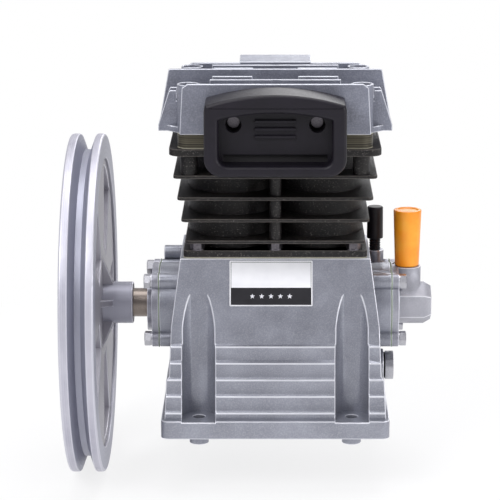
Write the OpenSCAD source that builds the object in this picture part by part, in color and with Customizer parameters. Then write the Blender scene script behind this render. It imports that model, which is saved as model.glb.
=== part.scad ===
// Belt driven two cylinder air compressor pump head.
// X runs along the crankshaft with the belt wheel at -X, the air intake faces -Y and +Z is up.
// The origin is the middle of the four mounting holes, on the plane that the feet stand on.

/* [Crankcase] */
// Height of the shaft axis above the mounting plane
axis_h = 94; // [92:0.5:97]
// Height of the deck that carries the cylinders
deck_z = 138.4; // [136:0.2:144]
// Width of the deck along the shaft
deck_w = 143; // [141:0.5:148]
// Depth of the deck across the shaft
deck_d = 80; // [79:0.5:86]
// Width of the base rim
rim_w = 171.4; // [169:0.2:180]
// Depth of the base rim
rim_d = 150; // [147:0.5:158]
// Height of the base rim's side
rim_h = 14; // [11:0.5:16]
// Length of the feet under the base rim
foot_h = 7.5; // [5:0.5:10]
// Diameter of the feet
foot_d = 14.5; // [13:0.5:18]
// Distance between the mounting holes along the shaft
hole_dx = 115; // [113:0.5:117]
// Distance between the mounting holes across the shaft
hole_dy = 116; // [115:0.5:118]
// Diameter of the mounting holes
hole_d = 9; // [8:0.5:10.5]
// Radius of the upright channels over the mounting holes
channel_r = 12.4; // [11.5:0.1:12.8]
// Depth of each step in the front and rear walls
step_d = 2.9; // [2:0.1:3.2]
// Height between two steps
step_pitch = 12.1; // [11:0.1:12.4]
// Height of the lowest step
step_z = 28.1; // [27:0.1:30]
// Thickness of the deck
deck_t = 8; // [6:0.5:9]

/* [Bearing covers] */
// Distance of the cover gaskets from the middle
cover_x = 88.2; // [87:0.2:92]
// Radius of the covers
cover_r = 31; // [30:0.5:34]
// Thickness of the cover flanges
cover_t = 5.2; // [4.5:0.1:6]
// Radius of the circle on which the cover screws stand
lug_circle_r = 31.8; // [31:0.2:34]
// Radius of the lugs round the cover screws
lug_r = 6.3; // [6:0.1:7]
// Radius of the spigot that holds the bearing
spigot_r = 27; // [26.5:0.1:27.4]
// Outer diameter of the ball bearings
bearing_od = 47; // [45:0.5:48]
// Width of the ball bearings
bearing_w = 12; // [10:0.5:12.5]
// Radius of the seal boss on the wheel side
seal_boss_r = 19.9; // [19:0.1:21]

/* [Crankshaft and rods] */
// Radius of the crank throw, half the stroke
throw_r = 18; // [16:0.5:18.5]
// Diameter of the crankpins
pin_d = 20; // [18:0.5:21]
// Diameter of the shaft in the bearings
journal_d = 25; // [24:0.5:26]
// Diameter of the shaft neck in the seal and the wheel
neck_d = 22; // [20:0.5:23]
// Thickness of the crank webs
web_t = 8; // [7:0.5:9]
// Radius of the counterweights
counter_r = 34; // [31:0.5:35]
// Width of the rods' big ends along the pin
big_w = 24; // [22:0.5:24.5]
// Height of the rod neck's parting over the crankpin
part_h = 24; // [22:0.5:25]
// Running clearance on the radius
run_gap = 0.05; // [0.03:0.01:0.08]

/* [Belt wheel] */
// Outer radius of the belt wheel
wheel_r = 130; // [125:0.5:140]
// Width of the rim
wheel_w = 25.7; // [25:0.1:30]
// Distance of the rim's inner side from the middle
wheel_x = 130.2; // [129:0.2:135]
// Outer width of the belt groove
groove_w = 13.1; // [12:0.1:14]
// Depth of the belt groove
groove_depth = 12; // [10:0.5:13]
// Radial thickness of the rim
rim_t = 19; // [17:0.5:22]
// Radius of the wheel hub
hub_r = 16; // [15:0.5:19]
// Distance of the hub's inner end from the middle
hub_x = 109.2; // [106:0.2:111]
// Number of spokes
spoke_n = 5; // [4:1:6]
// Angle that a spoke covers at the rim
spoke_angle = 38; // [30:1:44]

/* [Cylinders] */
// Cylinder bore
bore_d = 55; // [53:0.5:56]
// Distance between the cylinder axes
bore_dx = 68; // [67:0.5:70]
// Outer radius of the barrels
barrel_r = 32; // [31:0.5:33]
// Height of the lowest fin
fin_z = 153.4; // [151:0.2:155]
// Height between two fins
fin_pitch = 16.8; // [16:0.1:17]
// Thickness of the fins
fin_t = 2.6; // [2:0.1:3.2]
// Width of the lowest fin
fin_w = 134.8; // [133:0.2:138]
// How much each fin is wider than the one below
fin_grow = 5.5; // [4:0.1:6]
// Depth of the lowest fin
fin_d = 90; // [88:0.5:94]
// Height of the block's top face
block_z = 224.2; // [223:0.2:228]
// Width of the block's top flange
flange_w = 157.2; // [155:0.2:162]
// Thickness of the block's top flange
flange_t = 5.4; // [4.5:0.1:6]

/* [Head] */
// Width of the valve plate
plate_w = 144.6; // [143:0.2:148]
// Depth of the valve plate
plate_d = 102; // [100:0.5:106]
// Thickness of the valve plate with its reed pockets
plate_t = 9.6; // [8:0.1:11]
// Height of the head over its gasket
head_h = 40.8; // [38:0.2:44]
// Width of the head at its lower edge
head_w = 173.6; // [171:0.2:178]
// Width of the tall fins at their top
head_top_w = 161; // [156:0.5:164]
// Width of the front and rear plates at their lower edge
face_w = 141; // [138:0.2:146]
// Depth over the front and rear plates
head_d = 105; // [104:0.5:108]
// Thickness of the head's fins
head_fin_t = 3; // [2.4:0.1:3.6]
// Width of the discharge block at the rear
outlet_w = 55.4; // [50:0.2:60]
// Length of the discharge block
outlet_l = 34; // [28:0.5:38]
// Diameter of the discharge port's core hole
port_d = 19; // [16:0.5:21]

/* [Air filter] */
// Width of the filter housing
filter_w = 103; // [98:0.5:108]
// Height of the filter housing at its middle
filter_h = 60; // [57:0.5:63]
// Depth of the filter housing
filter_d = 36; // [33:0.5:40]
// Height of the housing's lower edge
filter_z = 211; // [209:0.5:213]
// Width of the intake mouth
mouth_w = 82.4; // [76:0.2:86]
// Height of the intake mouth
mouth_h = 39; // [35:0.5:41]
// Depth of the intake mouth
mouth_d = 18; // [15:0.5:20]

/* [Fittings] */
// Diameter of the oil filler cap at its top
cap_d = 21.4; // [20:0.2:23]
// Height of the oil filler cap
cap_h = 43.4; // [38:0.2:48]
// Height of the filler neck's top
neck_z = 123.6; // [122:0.2:126]
// Width across the flats of the filler elbow
elbow_af = 29; // [27:0.5:31]
// Length of the filler elbow
elbow_l = 24.8; // [23:0.2:27]
// Diameter of the breather
breather_d = 12.6; // [11:0.2:14]
// Height of the breather's top
breather_z = 164.4; // [158:0.2:170]
// Diameter of the sight glass ring
sight_d = 22; // [20:0.5:24]
// Height of the sight glass
sight_z = 45.5; // [44:0.5:48]

/* [Hidden] */
$fn = 48;

// Colours
cast_alloy = "#9a9da8";
machined_alloy = "#c4c4cc";
cast_iron = "#2a2628";
steel = "#b8b8bc";
dark_steel = "#6b665e";
black_plastic = "#2b2930";
gasket_green = "#7d8f6a";
cap_orange = "#ff9a14";
blasted_alloy = "#b5b5bb";
plate_brown = "#6d6a58";
felt = "#d8d2c0";
seal_brown = "#3a2a22";
oil_glass = "#d9c27a";
tag_white = "#f2f2f2";

// General small sizes
over = 1;                 // how far cuts run past a face
gasket_t = 0.6;
seat_gap = 0.3;           // clearance between pieces of different bodies
thread_gap = 0.05;

// Screws: radius of the shank, width across the flats and height of the head
m6_r = 3;
m6_af = 10;
m6_head = 4.6;
m8_r = 4;
m8_af = 13;
m8_head = 5.3;
m5_r = 2.5;
m5_af = 8;
m5_head = 3.5;
screw_play = 0.3;

// Crankcase walls
rim_z = foot_h + rim_h;
rim_corner_r = 6;
step_n = 5;
step_rise = 2.2;          // height of a step's sloping edge
brow_h = 11.7;            // upright band between the top step and the sloping face
brow_d = 109;             // depth of the wall at that band
brow_w = 156.6;           // width of the case there
waist_w = 159.4;          // width of the case at the third step
skirt_w = 163.6;          // width of the case below the third step
foot_w = 166.4;           // width of the case at the rim
brow_z = step_z + (step_n - 1) * step_pitch + brow_h;
skirt_d = brow_d + 2 * step_n * step_d;
sump_floor = 7;
front_wall_t = 13;        // walls of the case at the brow and at the deck
side_wall_t = 12.3;
top_wall_t = 4;
cavity_d = brow_d - 2 * front_wall_t;
cavity_w = brow_w - 2 * side_wall_t;
cavity_top_d = deck_d - 2 * top_wall_t;
cavity_neck_h = 34;       // height of the cavity's narrowing part
channel_drop = 1;         // how far the channel floors lie below the rim's top
channel_floor = rim_z - channel_drop;

// Cylinder spigots in the deck
liner_wall = 1.5;
liner_r = bore_d / 2 + liner_wall;
liner_depth = 6;
liner_z = deck_z - liner_depth;

// Deck screws
base_set_x = 2.5;         // how far the block's base stays inside the deck's edges
base_set_y = 1;
block_base_w = deck_w - 2 * base_set_x;
block_base_d = deck_d - 2 * base_set_y;
deck_bolt_in = 10.6;      // distances of the screws from the base's edges
deck_bolt_edge = 4;
deck_bolt_x = block_base_w / 2 - deck_bolt_in;
deck_bolt_y = block_base_d / 2 - deck_bolt_edge;
deck_bolt_depth = 14;
block_base_t = 5.4;
base_z = deck_z + gasket_t;

// Bosses on the case
breather_out = 5.9;
breather_x = deck_w / 2 + breather_out;
breather_y = 25;
breather_boss_r = 6.8;
breather_boss_z = 130.4;
breather_boss_l = 30;
breather_neck_d = 8.6;
breather_neck_h = 8.4;
breather_stem_r = 3.6;
breather_stem_l = 9;
stub_r = 5.6;
stub_x = 86.3;
stub_y = 28;
stub_z = 127;
stub_hole_r = 3.3;
stub_hole_depth = 14;
sight_boss_r = 12.6;
sight_boss_x = 83.4;
sight_x = 91;
sight_y = -6;
sight_hole_r = 7.5;
sight_flange_t = 3.4;
sight_lens_t = 2.4;
sight_lens_r = 7.9;
sight_seal_t = 1.2;
drain_z = 32;
drain_r = 5;
drain_boss_r = 9;
drain_boss_t = 3;
drain_af = 14;
drain_head = 6;
drain_flange_r = 9;
drain_flange_t = 1.6;

// Bearing covers
cover_in = cover_x + gasket_t;
cover_out = cover_in + cover_t;
bearing_r = bearing_od / 2;
bearing_set = 1.6;                    // how far the bearings lie inside the gaskets
bearing_x = cover_x - bearing_set;    // outer face of a bearing
bearing_in_x = bearing_x - bearing_w; // inner face of a bearing
spigot_x = bearing_in_x;
cover_bolt_l = 16;
cover_bolt_in = cover_out - cover_bolt_l;
bolt_washer_t = 1.2;
bolt_washer_r = 5.4;
hex_turn = 30;
seal_boss_x = 97.9;
seal_r = 17.4;
seal_w = 7;
seal_set = 0.8;
seal_x = seal_boss_x - seal_set;      // outer face of the seal
elbow_boss_r = 20.4;
elbow_boss_x = 94.9;
elbow_thread_r = 10;
elbow_thread_l = 8;

// Ball bearings
ring_wall = 3.4;
ball_n = 9;
journal_r = journal_d / 2;
inner_ring_r = journal_r + ring_wall;
outer_ring_in_r = bearing_r - ring_wall;
race_r = (inner_ring_r + outer_ring_in_r) / 2;
ball_sink = 0.8;                      // how far the balls reach into the race grooves
ball_r = (outer_ring_in_r - inner_ring_r) / 2 + ball_sink;
race_groove_r = ball_r + seat_gap;
cage_t = 1.6;
cage_w = 3;

// Crankshaft
neck_r = neck_d / 2;
pin_r = pin_d / 2;
bore_x = bore_dx / 2;
pin_play = 2;
pin_l = big_w + pin_play;
web_in_x = bore_x - pin_l / 2 - web_t;
web_out_x = bore_x + pin_l / 2 + web_t;
shoulder_step = 2.4;
shoulder_r = journal_r + shoulder_step;
web_wall = 5;
web_r = pin_r + web_wall;
centre_r = 14;
counter_share = 0.42;                 // half width of the counterweight as a share of its diameter
nose_x = 146.5;                       // end of the shaft in the wheel
key_w = 6;
key_t = 6;
key_l = 26;
key_x = 141;

// Rods
pin_z = axis_h + throw_r;
big_wall = 5.2;
big_r = pin_r + big_wall;
ear_y = 19.4;
ear_h = 6;
rod_bolt_y = 15.7;
rod_neck_w = 13;
rod_neck_t = 9;
dipper_w = 10;
dipper_t = 4;
dipper_l = 17;

// Pistons
crown_gap = 0.8;
piston_gap = 0.25;
crown_z = block_z - crown_gap;
pin_drop = 24;
wrist_z = crown_z - pin_drop;
wrist_r = 7;
wrist_l = 48;
wrist_bore_r = 3.6;
piston_h = 44;
piston_wall = 4;
crown_t = 6;
ring_h = 2.4;
ring_n = 3;
ring_pitch = 4.6;
ring_drop = 4.4;
ring_depth = 3;
eye_r = 11;
eye_w = 16;

// Fins of the block
fin_n = 4;
fin_corner_r = 4;
fin_deepen = 3;
post_r = 4.6;
post_y = 39;
flange_z = block_z - flange_t;
flange_d = 107;
column_r = 6.4;
head_bolt_x = 64;
head_bolt_y = 42;
barrel_web_t = 12;
column_drop = 22;

// Valve plate and gaskets
plate_z = block_z + gasket_t;
head_z = plate_z + plate_t + gasket_t;
plate_corner_r = 9;
valve_hole_r = 5;
valve_dx = 9;
valve_y = 11;
reed_t = 0.4;
reed_w = 14;
reed_l = 40;
reed_seat_d = 1.2;

// Head fins
head_top = head_z + head_h;
lip_t = 4.5;
lip_d = 60;
lip_corner_d = 92;
face_lip_t = 3;
core_w = 122;
core_d = 92;
core_h = 16;
face_top_w = 135;
face_drop = 3.2;
mid_y = 20;
near_y = 35;
wing_h = 30.3;
wing_step_h = 22.6;
wing_step_w = 146.4;
wing_top_w = 158;
near_w = 97;
tab_in = 17;
tab_out = 47;
tab_drop = 2.4;
boss_r = 8.4;
boss_h = 36.4;
mid_boss_h = 18;
chamber_w = 116;
chamber_d = 34;
chamber_h = 10;
chamber_gap = 4;
inlet_r = 6.4;
inlet_dx = 30;
inlet_z = 248;
inlet_wall = 3;
port_h = 21;
outlet_z = head_z + port_h;
outlet_floor = 6;
port_floor_t = 6;
port_floor_y = head_d / 2 + port_floor_t;
corner_seat_drop = 10;
corner_seat_z = head_z + boss_h - corner_seat_drop;
mid_seat_z = head_z + mid_boss_h;
face_corner_r = 6;
m8_socket_r = 6.5;
m8_socket_h = 8;
m8_hex_af = 6;
m8_hex_depth = 4;
head_bolt_gap = 3;
head_bolt_end = block_z - column_drop + head_bolt_gap;

// Filter
filter_back_y = -head_d / 2;
filter_base_t = 3.6;
filter_back = filter_back_y - filter_base_t;
filter_front = filter_back - filter_d;
filter_corner_r = 13;
filter_arch_r = 170;
filter_wall = 2.6;
mouth_corner_r = 7;
mouth_arch_r = 165;
mouth_z = 218.6;
mouth_wall_t = 3;
screw_x = 30.5;
screw_z = 246.4;
screw_recess_r = 5.8;
screw_tube_r = 8;
screw_seat_t = 2.4;
screw_hole_l = 6;
m5_pan_r = 4.6;
m5_pan_h = 3;
slot_w = 76;
slot_h = 5.6;
grille_w = 30;
grille_t = 2.2;
grille_n = 3;
grille_pitch = 5.7;
grille_z = 236.6;
grille_proud = 2.6;
element_gap = 0.6;
element_t = 12;
base_inset = 0.8;

// Filler
filler_x = 101;
elbow_bevel_l = 5.6;
elbow_body_l = elbow_l - elbow_bevel_l;
elbow_bevel_share = 0.8;              // width of the elbow's end as a share of its body
neck_relief = 0.4;                    // gap between the neck and the cover
neck_out_r = 10.7;
neck_in_r = 7.6;
cap_stem_gap = 0.08;
cap_stem_r = neck_in_r - cap_stem_gap;
cap_stem_foot = 0.7;                  // gap between the stem and the boss below it
cap_stem_l = neck_z - axis_h - elbow_boss_r - cap_stem_foot;
cap_taper = 1.4;
cap_edge = 1.6;
bore_in_r = 6;

// Name plate
tag_w = 62.3;
tag_h = 34.2;
tag_t = 0.5;
tag_x = -3.2;
tag_drop = 1.6;
tag_corner_r = 0.8;
slope_angle = atan((brow_d - deck_d) / 2 / (deck_z - brow_z));

// Wheel
wheel_out_x = wheel_x + wheel_w;
groove_land = 6.5;                    // width of the rim outside the groove
groove_x = wheel_out_x - groove_land - groove_w;
groove_floor_w = 4.6;
land_chamfer = 1;
web_set = 2;
web_face_x = wheel_x + web_set;
wheel_web_t = 8;
gusset_t = 5;
gusset_back = 15;                     // how far the ribs stay behind the hub's inner end
gusset_x = hub_x + gusset_back;
gusset_reach = 37;                    // radius at which the ribs run out on the spokes
hub_proud = 1;
wheel_bolt_l = 26;                    // depth of the screw hole in the shaft's end
hub_out_x = nose_x + hub_proud;
window_in_r = 42;
window_gap = 5;
washer_r = 13;
washer_t = 2.5;
spoke_first = 24;                     // angle of the first spoke from +Y towards +Z

// Bars along the axes and a plain box between two corners
module bar_x(r, x0, x1, y = 0, z = 0) {
    translate([x0, y, z]) rotate([0, 90, 0]) cylinder(r = r, h = x1 - x0);
}
module bar_y(r, y0, y1, x = 0, z = 0) {
    translate([x, y1, z]) rotate([90, 0, 0]) cylinder(r = r, h = y1 - y0);
}
module bar_z(r, z0, z1, x = 0, y = 0) {
    translate([x, y, z0]) cylinder(r = r, h = z1 - z0);
}
module span(low, high) {
    translate(low) cube(high - low);
}
module hex_x(af, x0, x1, y = 0, z = 0, turn = 0) {
    translate([x0, y, z]) rotate([0, 90, 0]) rotate([0, 0, turn])
        cylinder(d = af / cos(30), h = x1 - x0, $fn = 6);
}
module hex_z(af, z0, z1, x = 0, y = 0) {
    translate([x, y, z0]) cylinder(d = af / cos(30), h = z1 - z0, $fn = 6);
}
module hex_y(af, y0, y1, x = 0, z = 0) {
    translate([x, y1, z]) rotate([90, 0, 0]) cylinder(d = af / cos(30), h = y1 - y0, $fn = 6);
}

// A plate with round corners, centred on x and y
module round_plate(w, d, z0, z1, r) {
    translate([0, 0, z0]) linear_extrude(z1 - z0) round_rect(w, d, r);
}
module round_rect(w, d, r) {
    square([w - 2 * r, d], center = true);
    square([w, d - 2 * r], center = true);
    for (sx = [-1, 1], sy = [-1, 1])
        translate([sx * (w / 2 - r), sy * (d / 2 - r)]) circle(r = r);
}

// Outlines that lie in the YZ plane or the XZ plane and run along the other axis
module along_x(x0, x1) {
    translate([x0, 0, 0]) rotate([90, 0, 90]) linear_extrude(x1 - x0) children();
}
module along_y(y0, y1) {
    translate([0, y1, 0]) rotate([90, 0, 0]) linear_extrude(y1 - y0) children();
}

// Both halves of an outline given by its right half from the bottom to the top
function both_halves(half) = concat(half, [for (i = [len(half) - 1:-1:0]) [-half[i][0], half[i][1]]]);

// The four corners and the six places of the block's screws
module at_holes() {
    for (sx = [-1, 1], sy = [-1, 1]) translate([sx * hole_dx / 2, sy * hole_dy / 2, 0]) children();
}
module at_lugs() {
    for (sy = [-1, 1], sz = [-1, 1])
        translate([0, sy * lug_circle_r * sin(45), axis_h + sz * lug_circle_r * sin(45)]) children();
}
module at_deck_bolts() {
    for (sx = [-1, 0, 1], sy = [-1, 1]) translate([sx * deck_bolt_x, sy * deck_bolt_y, 0]) children();
}
module at_head_bolts() {
    for (sx = [-1, 0, 1], sy = [-1, 1]) translate([sx * head_bolt_x, sy * head_bolt_y, 0]) children();
}
module at_corner_bolts() {
    for (sx = [-1, 1], sy = [-1, 1]) translate([sx * head_bolt_x, sy * head_bolt_y, 0]) children();
}
module at_mid_bolts() {
    for (sy = [-1, 1]) translate([0, sy * head_bolt_y, 0]) children();
}
module at_passages() {
    for (sx = [-1, 1]) translate([sx * inlet_dx / 2, 0, 0]) children();
}
module at_bores() {
    for (sx = [-1, 1]) translate([sx * bore_x, 0, 0]) children();
}
module left_side() { mirror([1, 0, 0]) children(); }

// Crankcase casting
wall_half = concat(
    [[skirt_d / 2, rim_z - over]],
    [for (i = [0:step_n - 1]) each [
        [skirt_d / 2 - i * step_d, step_z + i * step_pitch - step_rise],
        [skirt_d / 2 - (i + 1) * step_d, step_z + i * step_pitch]]],
    [[brow_d / 2, brow_z], [deck_d / 2, deck_z]]);
side_half = [
    [foot_w / 2, rim_z - over],
    [skirt_w / 2, step_z + 2 * step_pitch - step_rise],
    [waist_w / 2, step_z + 2 * step_pitch],
    [brow_w / 2, brow_z],
    [deck_w / 2, deck_z]];
cavity_half = [
    [cavity_d / 2, foot_h + sump_floor],
    [cavity_d / 2, deck_z - cavity_neck_h],
    [cavity_top_d / 2, deck_z - deck_t]];

module case_walls() {
    intersection() {
        along_x(-rim_w / 2, rim_w / 2) polygon(both_halves(wall_half));
        along_y(-rim_d / 2, rim_d / 2) polygon(both_halves(side_half));
    }
}
module case_channel() {
    bar_z(channel_r, channel_floor, deck_z);
    span([-channel_r, -rim_d / 2, channel_floor], [channel_r, 0, deck_z]);
}
module case_channels() {
    for (sx = [-1, 1], sy = [0, 1]) mirror([0, sy, 0])
        translate([sx * hole_dx / 2, -hole_dy / 2, 0]) case_channel();
}
module case_cover_boss() {
    bar_x(cover_r, cavity_w / 2, cover_x, 0, axis_h);
    at_lugs() bar_x(lug_r, cavity_w / 2, cover_x);
}
module crankcase() {
    color(cast_alloy) difference() {
        union() {
            difference() {
                union() {
                    case_walls();
                    round_plate(rim_w, rim_d, foot_h, rim_z, rim_corner_r);
                }
                case_channels();
            }
            at_holes() bar_z(foot_d / 2, 0, foot_h + over);
            case_cover_boss();
            left_side() case_cover_boss();
            bar_z(breather_boss_r, breather_boss_z - breather_boss_l, breather_boss_z,
                breather_x, breather_y);
            bar_x(stub_r, -stub_x, -cavity_w / 2, stub_y, stub_z);
            bar_x(sight_boss_r, cavity_w / 2, sight_boss_x, sight_y, sight_z);
            bar_y(drain_boss_r, cavity_d / 2, skirt_d / 2 + drain_boss_t, 0, drain_z);
        }
        intersection() {
            along_x(-cavity_w / 2, cavity_w / 2) polygon(both_halves(cavity_half));
            span([-cavity_w / 2, -cavity_d / 2, foot_h], [cavity_w / 2, cavity_d / 2, deck_z]);
        }
        at_bores() bar_z(liner_r, liner_z - deck_t, deck_z + over);
        bar_x(spigot_r, -cover_x - over, cover_x + over, 0, axis_h);
        at_holes() bar_z(hole_d / 2, -over, rim_z + over);
        for (sx = [0, 1]) mirror([sx, 0, 0])
            at_lugs() bar_x(m6_r + thread_gap, cover_bolt_in - over, cover_x + over);
        at_deck_bolts() bar_z(m6_r + thread_gap, deck_z - deck_bolt_depth, deck_z + over);
        bar_z(breather_stem_r + run_gap, breather_boss_z - breather_stem_l - over,
            breather_boss_z + over, breather_x, breather_y);
        bar_x(stub_hole_r, -stub_x - over, -stub_x + stub_hole_depth, stub_y, stub_z);
        bar_x(sight_hole_r, cavity_w / 2 - over, sight_boss_x + over, sight_y, sight_z);
        bar_y(drain_r, cavity_d / 2 - over, skirt_d / 2 + drain_boss_t + over, 0, drain_z);
    }
}

// Gasket between the crankcase and the block
module base_gasket() {
    color(gasket_green) difference() {
        round_plate(block_base_w, block_base_d, deck_z, base_z, fin_corner_r);
        at_bores() bar_z(liner_r, deck_z - over, base_z + over);
        at_deck_bolts() bar_z(m6_r + screw_play, deck_z - over, base_z + over);
    }
}

// Finned cylinder block
module block_fin(i) {
    z = fin_z + i * fin_pitch;
    round_plate(fin_w + i * fin_grow, fin_d + i * fin_deepen, z - fin_t, z, fin_corner_r);
}
module cylinder_block() {
    color(cast_iron) difference() {
        union() {
            at_bores() bar_z(barrel_r, base_z, block_z);
            at_bores() bar_z(liner_r, liner_z, base_z + over);
            round_plate(block_base_w, block_base_d, base_z, base_z + block_base_t, fin_corner_r);
            for (i = [0:fin_n - 1]) block_fin(i);
            round_plate(flange_w, flange_d, flange_z, block_z, plate_corner_r);
            for (sy = [-1, 1]) bar_z(post_r, base_z + block_base_t + m6_head + bolt_washer_t + over,
                block_z, 0, sy * post_y);
            at_head_bolts() bar_z(column_r, block_z - column_drop, block_z);
            span([-bore_x, -barrel_web_t / 2, base_z], [bore_x, barrel_web_t / 2, block_z]);
        }
        at_bores() bar_z(bore_d / 2, liner_z - over, block_z + over);
        at_deck_bolts() bar_z(m6_r + screw_play, base_z - over, base_z + block_base_t + over);
        at_head_bolts() bar_z(m8_r + thread_gap, head_bolt_end - over, block_z + over);
    }
}
module block_bolts() {
    top = base_z + block_base_t;
    color(dark_steel) at_deck_bolts() union() {
        bar_z(m6_r, deck_z - deck_bolt_depth + over, top + over);
        bar_z(bolt_washer_r, top, top + bolt_washer_t);
        hex_z(m6_af, top + bolt_washer_t, top + bolt_washer_t + m6_head);
    }
}

// Valve plate, its reeds and its gaskets
module plate_outline(z0, z1) {
    difference() {
        round_plate(plate_w, plate_d, z0, z1, plate_corner_r);
        at_head_bolts() bar_z(m8_r + screw_play, z0 - over, z1 + over);
    }
}
module plate_gasket() {
    color(gasket_green) difference() {
        plate_outline(block_z, plate_z);
        at_bores() bar_z(bore_d / 2, block_z - over, plate_z + over);
    }
}
module reed_shape(z0, z1) {
    round_plate(reed_w, reed_l, z0, z1, reed_w / 2 - seat_gap);
}
module at_suction() {
    for (sx = [-1, 1]) translate([sx * bore_x - valve_dx, 0, 0]) children();
}
module at_discharge() {
    for (sx = [-1, 1]) translate([sx * bore_x + valve_dx, 0, 0]) children();
}
module valve_plate() {
    top = plate_z + plate_t;
    color(plate_brown) difference() {
        plate_outline(plate_z, top);
        at_suction() reed_shape(plate_z - over, plate_z + reed_seat_d);
        at_discharge() reed_shape(top - reed_seat_d, top + over);
        at_suction() bar_z(valve_hole_r, plate_z - over, top + over, 0, -valve_y);
        at_discharge() bar_z(valve_hole_r, plate_z - over, top + over, 0, valve_y);
    }
}
module suction_reeds() {
    color(steel) at_suction() reed_shape(plate_z + reed_seat_d - reed_t, plate_z + reed_seat_d);
}
module discharge_reeds() {
    top = plate_z + plate_t;
    color(steel) at_discharge() reed_shape(top - reed_seat_d, top - reed_seat_d + reed_t);
}
module chamber_pair(z0, z1) {
    for (sy = [-1, 1])
        translate([0, sy * (chamber_d + chamber_gap) / 2, 0])
            round_plate(chamber_w, chamber_d, z0, z1, face_corner_r);
}
module head_gasket() {
    color(gasket_green) difference() {
        plate_outline(plate_z + plate_t, head_z);
        chamber_pair(plate_z, head_z + over);
    }
}

// Cylinder head with its cooling fins
module head_fin(y, half) {
    along_y(y - head_fin_t / 2, y + head_fin_t / 2) polygon(both_halves(half));
}
wing_half = [
    [head_w / 2, head_z],
    [head_w / 2, head_z + lip_t],
    [wing_top_w / 2, head_z + wing_h - land_chamfer],
    [wing_top_w / 2 - land_chamfer, head_z + wing_h],
    [wing_step_w / 2, head_z + wing_h],
    [wing_step_w / 2, head_z + wing_step_h]];
tall_half = [
    [head_w / 2, head_z],
    [head_w / 2, head_z + lip_t],
    [head_top_w / 2, head_top - land_chamfer],
    [head_top_w / 2 - land_chamfer, head_top]];
face_half = [
    [face_w / 2, head_z],
    [face_top_w / 2 + land_chamfer, head_top - face_drop - face_corner_r / 2],
    [face_top_w / 2 - face_corner_r / 2, head_top - face_drop]];
module head_tabs(y) {
    for (sx = [0, 1]) mirror([sx, 0, 0])
        span([tab_in, y - head_fin_t / 2, head_z + wing_step_h],
            [tab_out, y + head_fin_t / 2, head_top - tab_drop]);
}
module cylinder_head() {
    color(cast_alloy) difference() {
        union() {
            translate([0, 0, head_z]) linear_extrude(lip_t) polygon(both_halves([
                [face_w / 2, -lip_corner_d / 2], [head_w / 2, -lip_d / 2],
                [head_w / 2, lip_d / 2], [face_w / 2, lip_corner_d / 2]]));
            round_plate(face_w, head_d, head_z, head_z + face_lip_t, face_corner_r);
            round_plate(core_w, core_d, head_z, head_z + core_h, face_corner_r);
            head_fin(0, tall_half);
            for (sy = [-1, 1]) {
                head_fin(sy * mid_y, wing_half);
                head_fin(sy * near_y, wing_half);
                head_fin(sy * (head_d - head_fin_t) / 2, face_half);
                head_tabs(sy * mid_y);
                span([-near_w / 2, sy * near_y - head_fin_t / 2, head_z],
                    [near_w / 2, sy * near_y + head_fin_t / 2, head_top - tab_drop]);
            }
            span([-head_fin_t / 2, -head_d / 2, head_z],
                [head_fin_t / 2, head_d / 2, head_z + wing_step_h]);
            at_corner_bolts() bar_z(boss_r, head_z, head_z + boss_h);
            at_mid_bolts() bar_z(boss_r, head_z, head_z + mid_boss_h);
            span([-outlet_w / 2, head_d / 2 - head_fin_t, head_z + outlet_floor],
                [outlet_w / 2, head_d / 2 + outlet_l, head_top - tab_drop]);
            span([-outlet_w / 2, near_y, head_z], [outlet_w / 2, head_d / 2, head_z + wing_h]);
            at_passages() bar_y(inlet_r + inlet_wall, -head_d / 2, -chamber_d / 2, 0, inlet_z);
        }
        chamber_pair(head_z - over, head_z + chamber_h);
        at_passages() {
            bar_y(inlet_r, -head_d / 2 - over, -chamber_d / 2, 0, inlet_z);
            bar_z(inlet_r, head_z, inlet_z, 0, -chamber_d / 2 - inlet_r);
            bar_y(inlet_r, chamber_d / 2, port_floor_y + over, 0, inlet_z);
            bar_z(inlet_r, head_z, inlet_z, 0, chamber_d / 2 + inlet_r);
        }
        bar_y(port_d / 2, port_floor_y, head_d / 2 + outlet_l + over, 0, outlet_z);
        at_head_bolts() bar_z(m8_r + screw_play, head_z - over, head_top + over);
        at_corner_bolts() bar_z(m8_socket_r + screw_play, corner_seat_z, head_top + over);
        at_mid_bolts() bar_z(m8_socket_r + screw_play, mid_seat_z, head_top + over);
        for (sx = [-1, 1])
            bar_y(m5_r + thread_gap, filter_back_y - over, filter_back_y + screw_hole_l,
                sx * screw_x, screw_z);
    }
}
module head_bolt(seat) {
    difference() {
        union() {
            bar_z(m8_r, head_bolt_end, seat + over);
            bar_z(m8_socket_r, seat, seat + m8_socket_h);
        }
        hex_z(m8_hex_af, seat + m8_socket_h - m8_hex_depth, seat + m8_socket_h + over);
    }
}
module head_bolts() {
    color(dark_steel) {
        at_corner_bolts() head_bolt(corner_seat_z);
        at_mid_bolts() head_bolt(mid_seat_z);
    }
}

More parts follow.
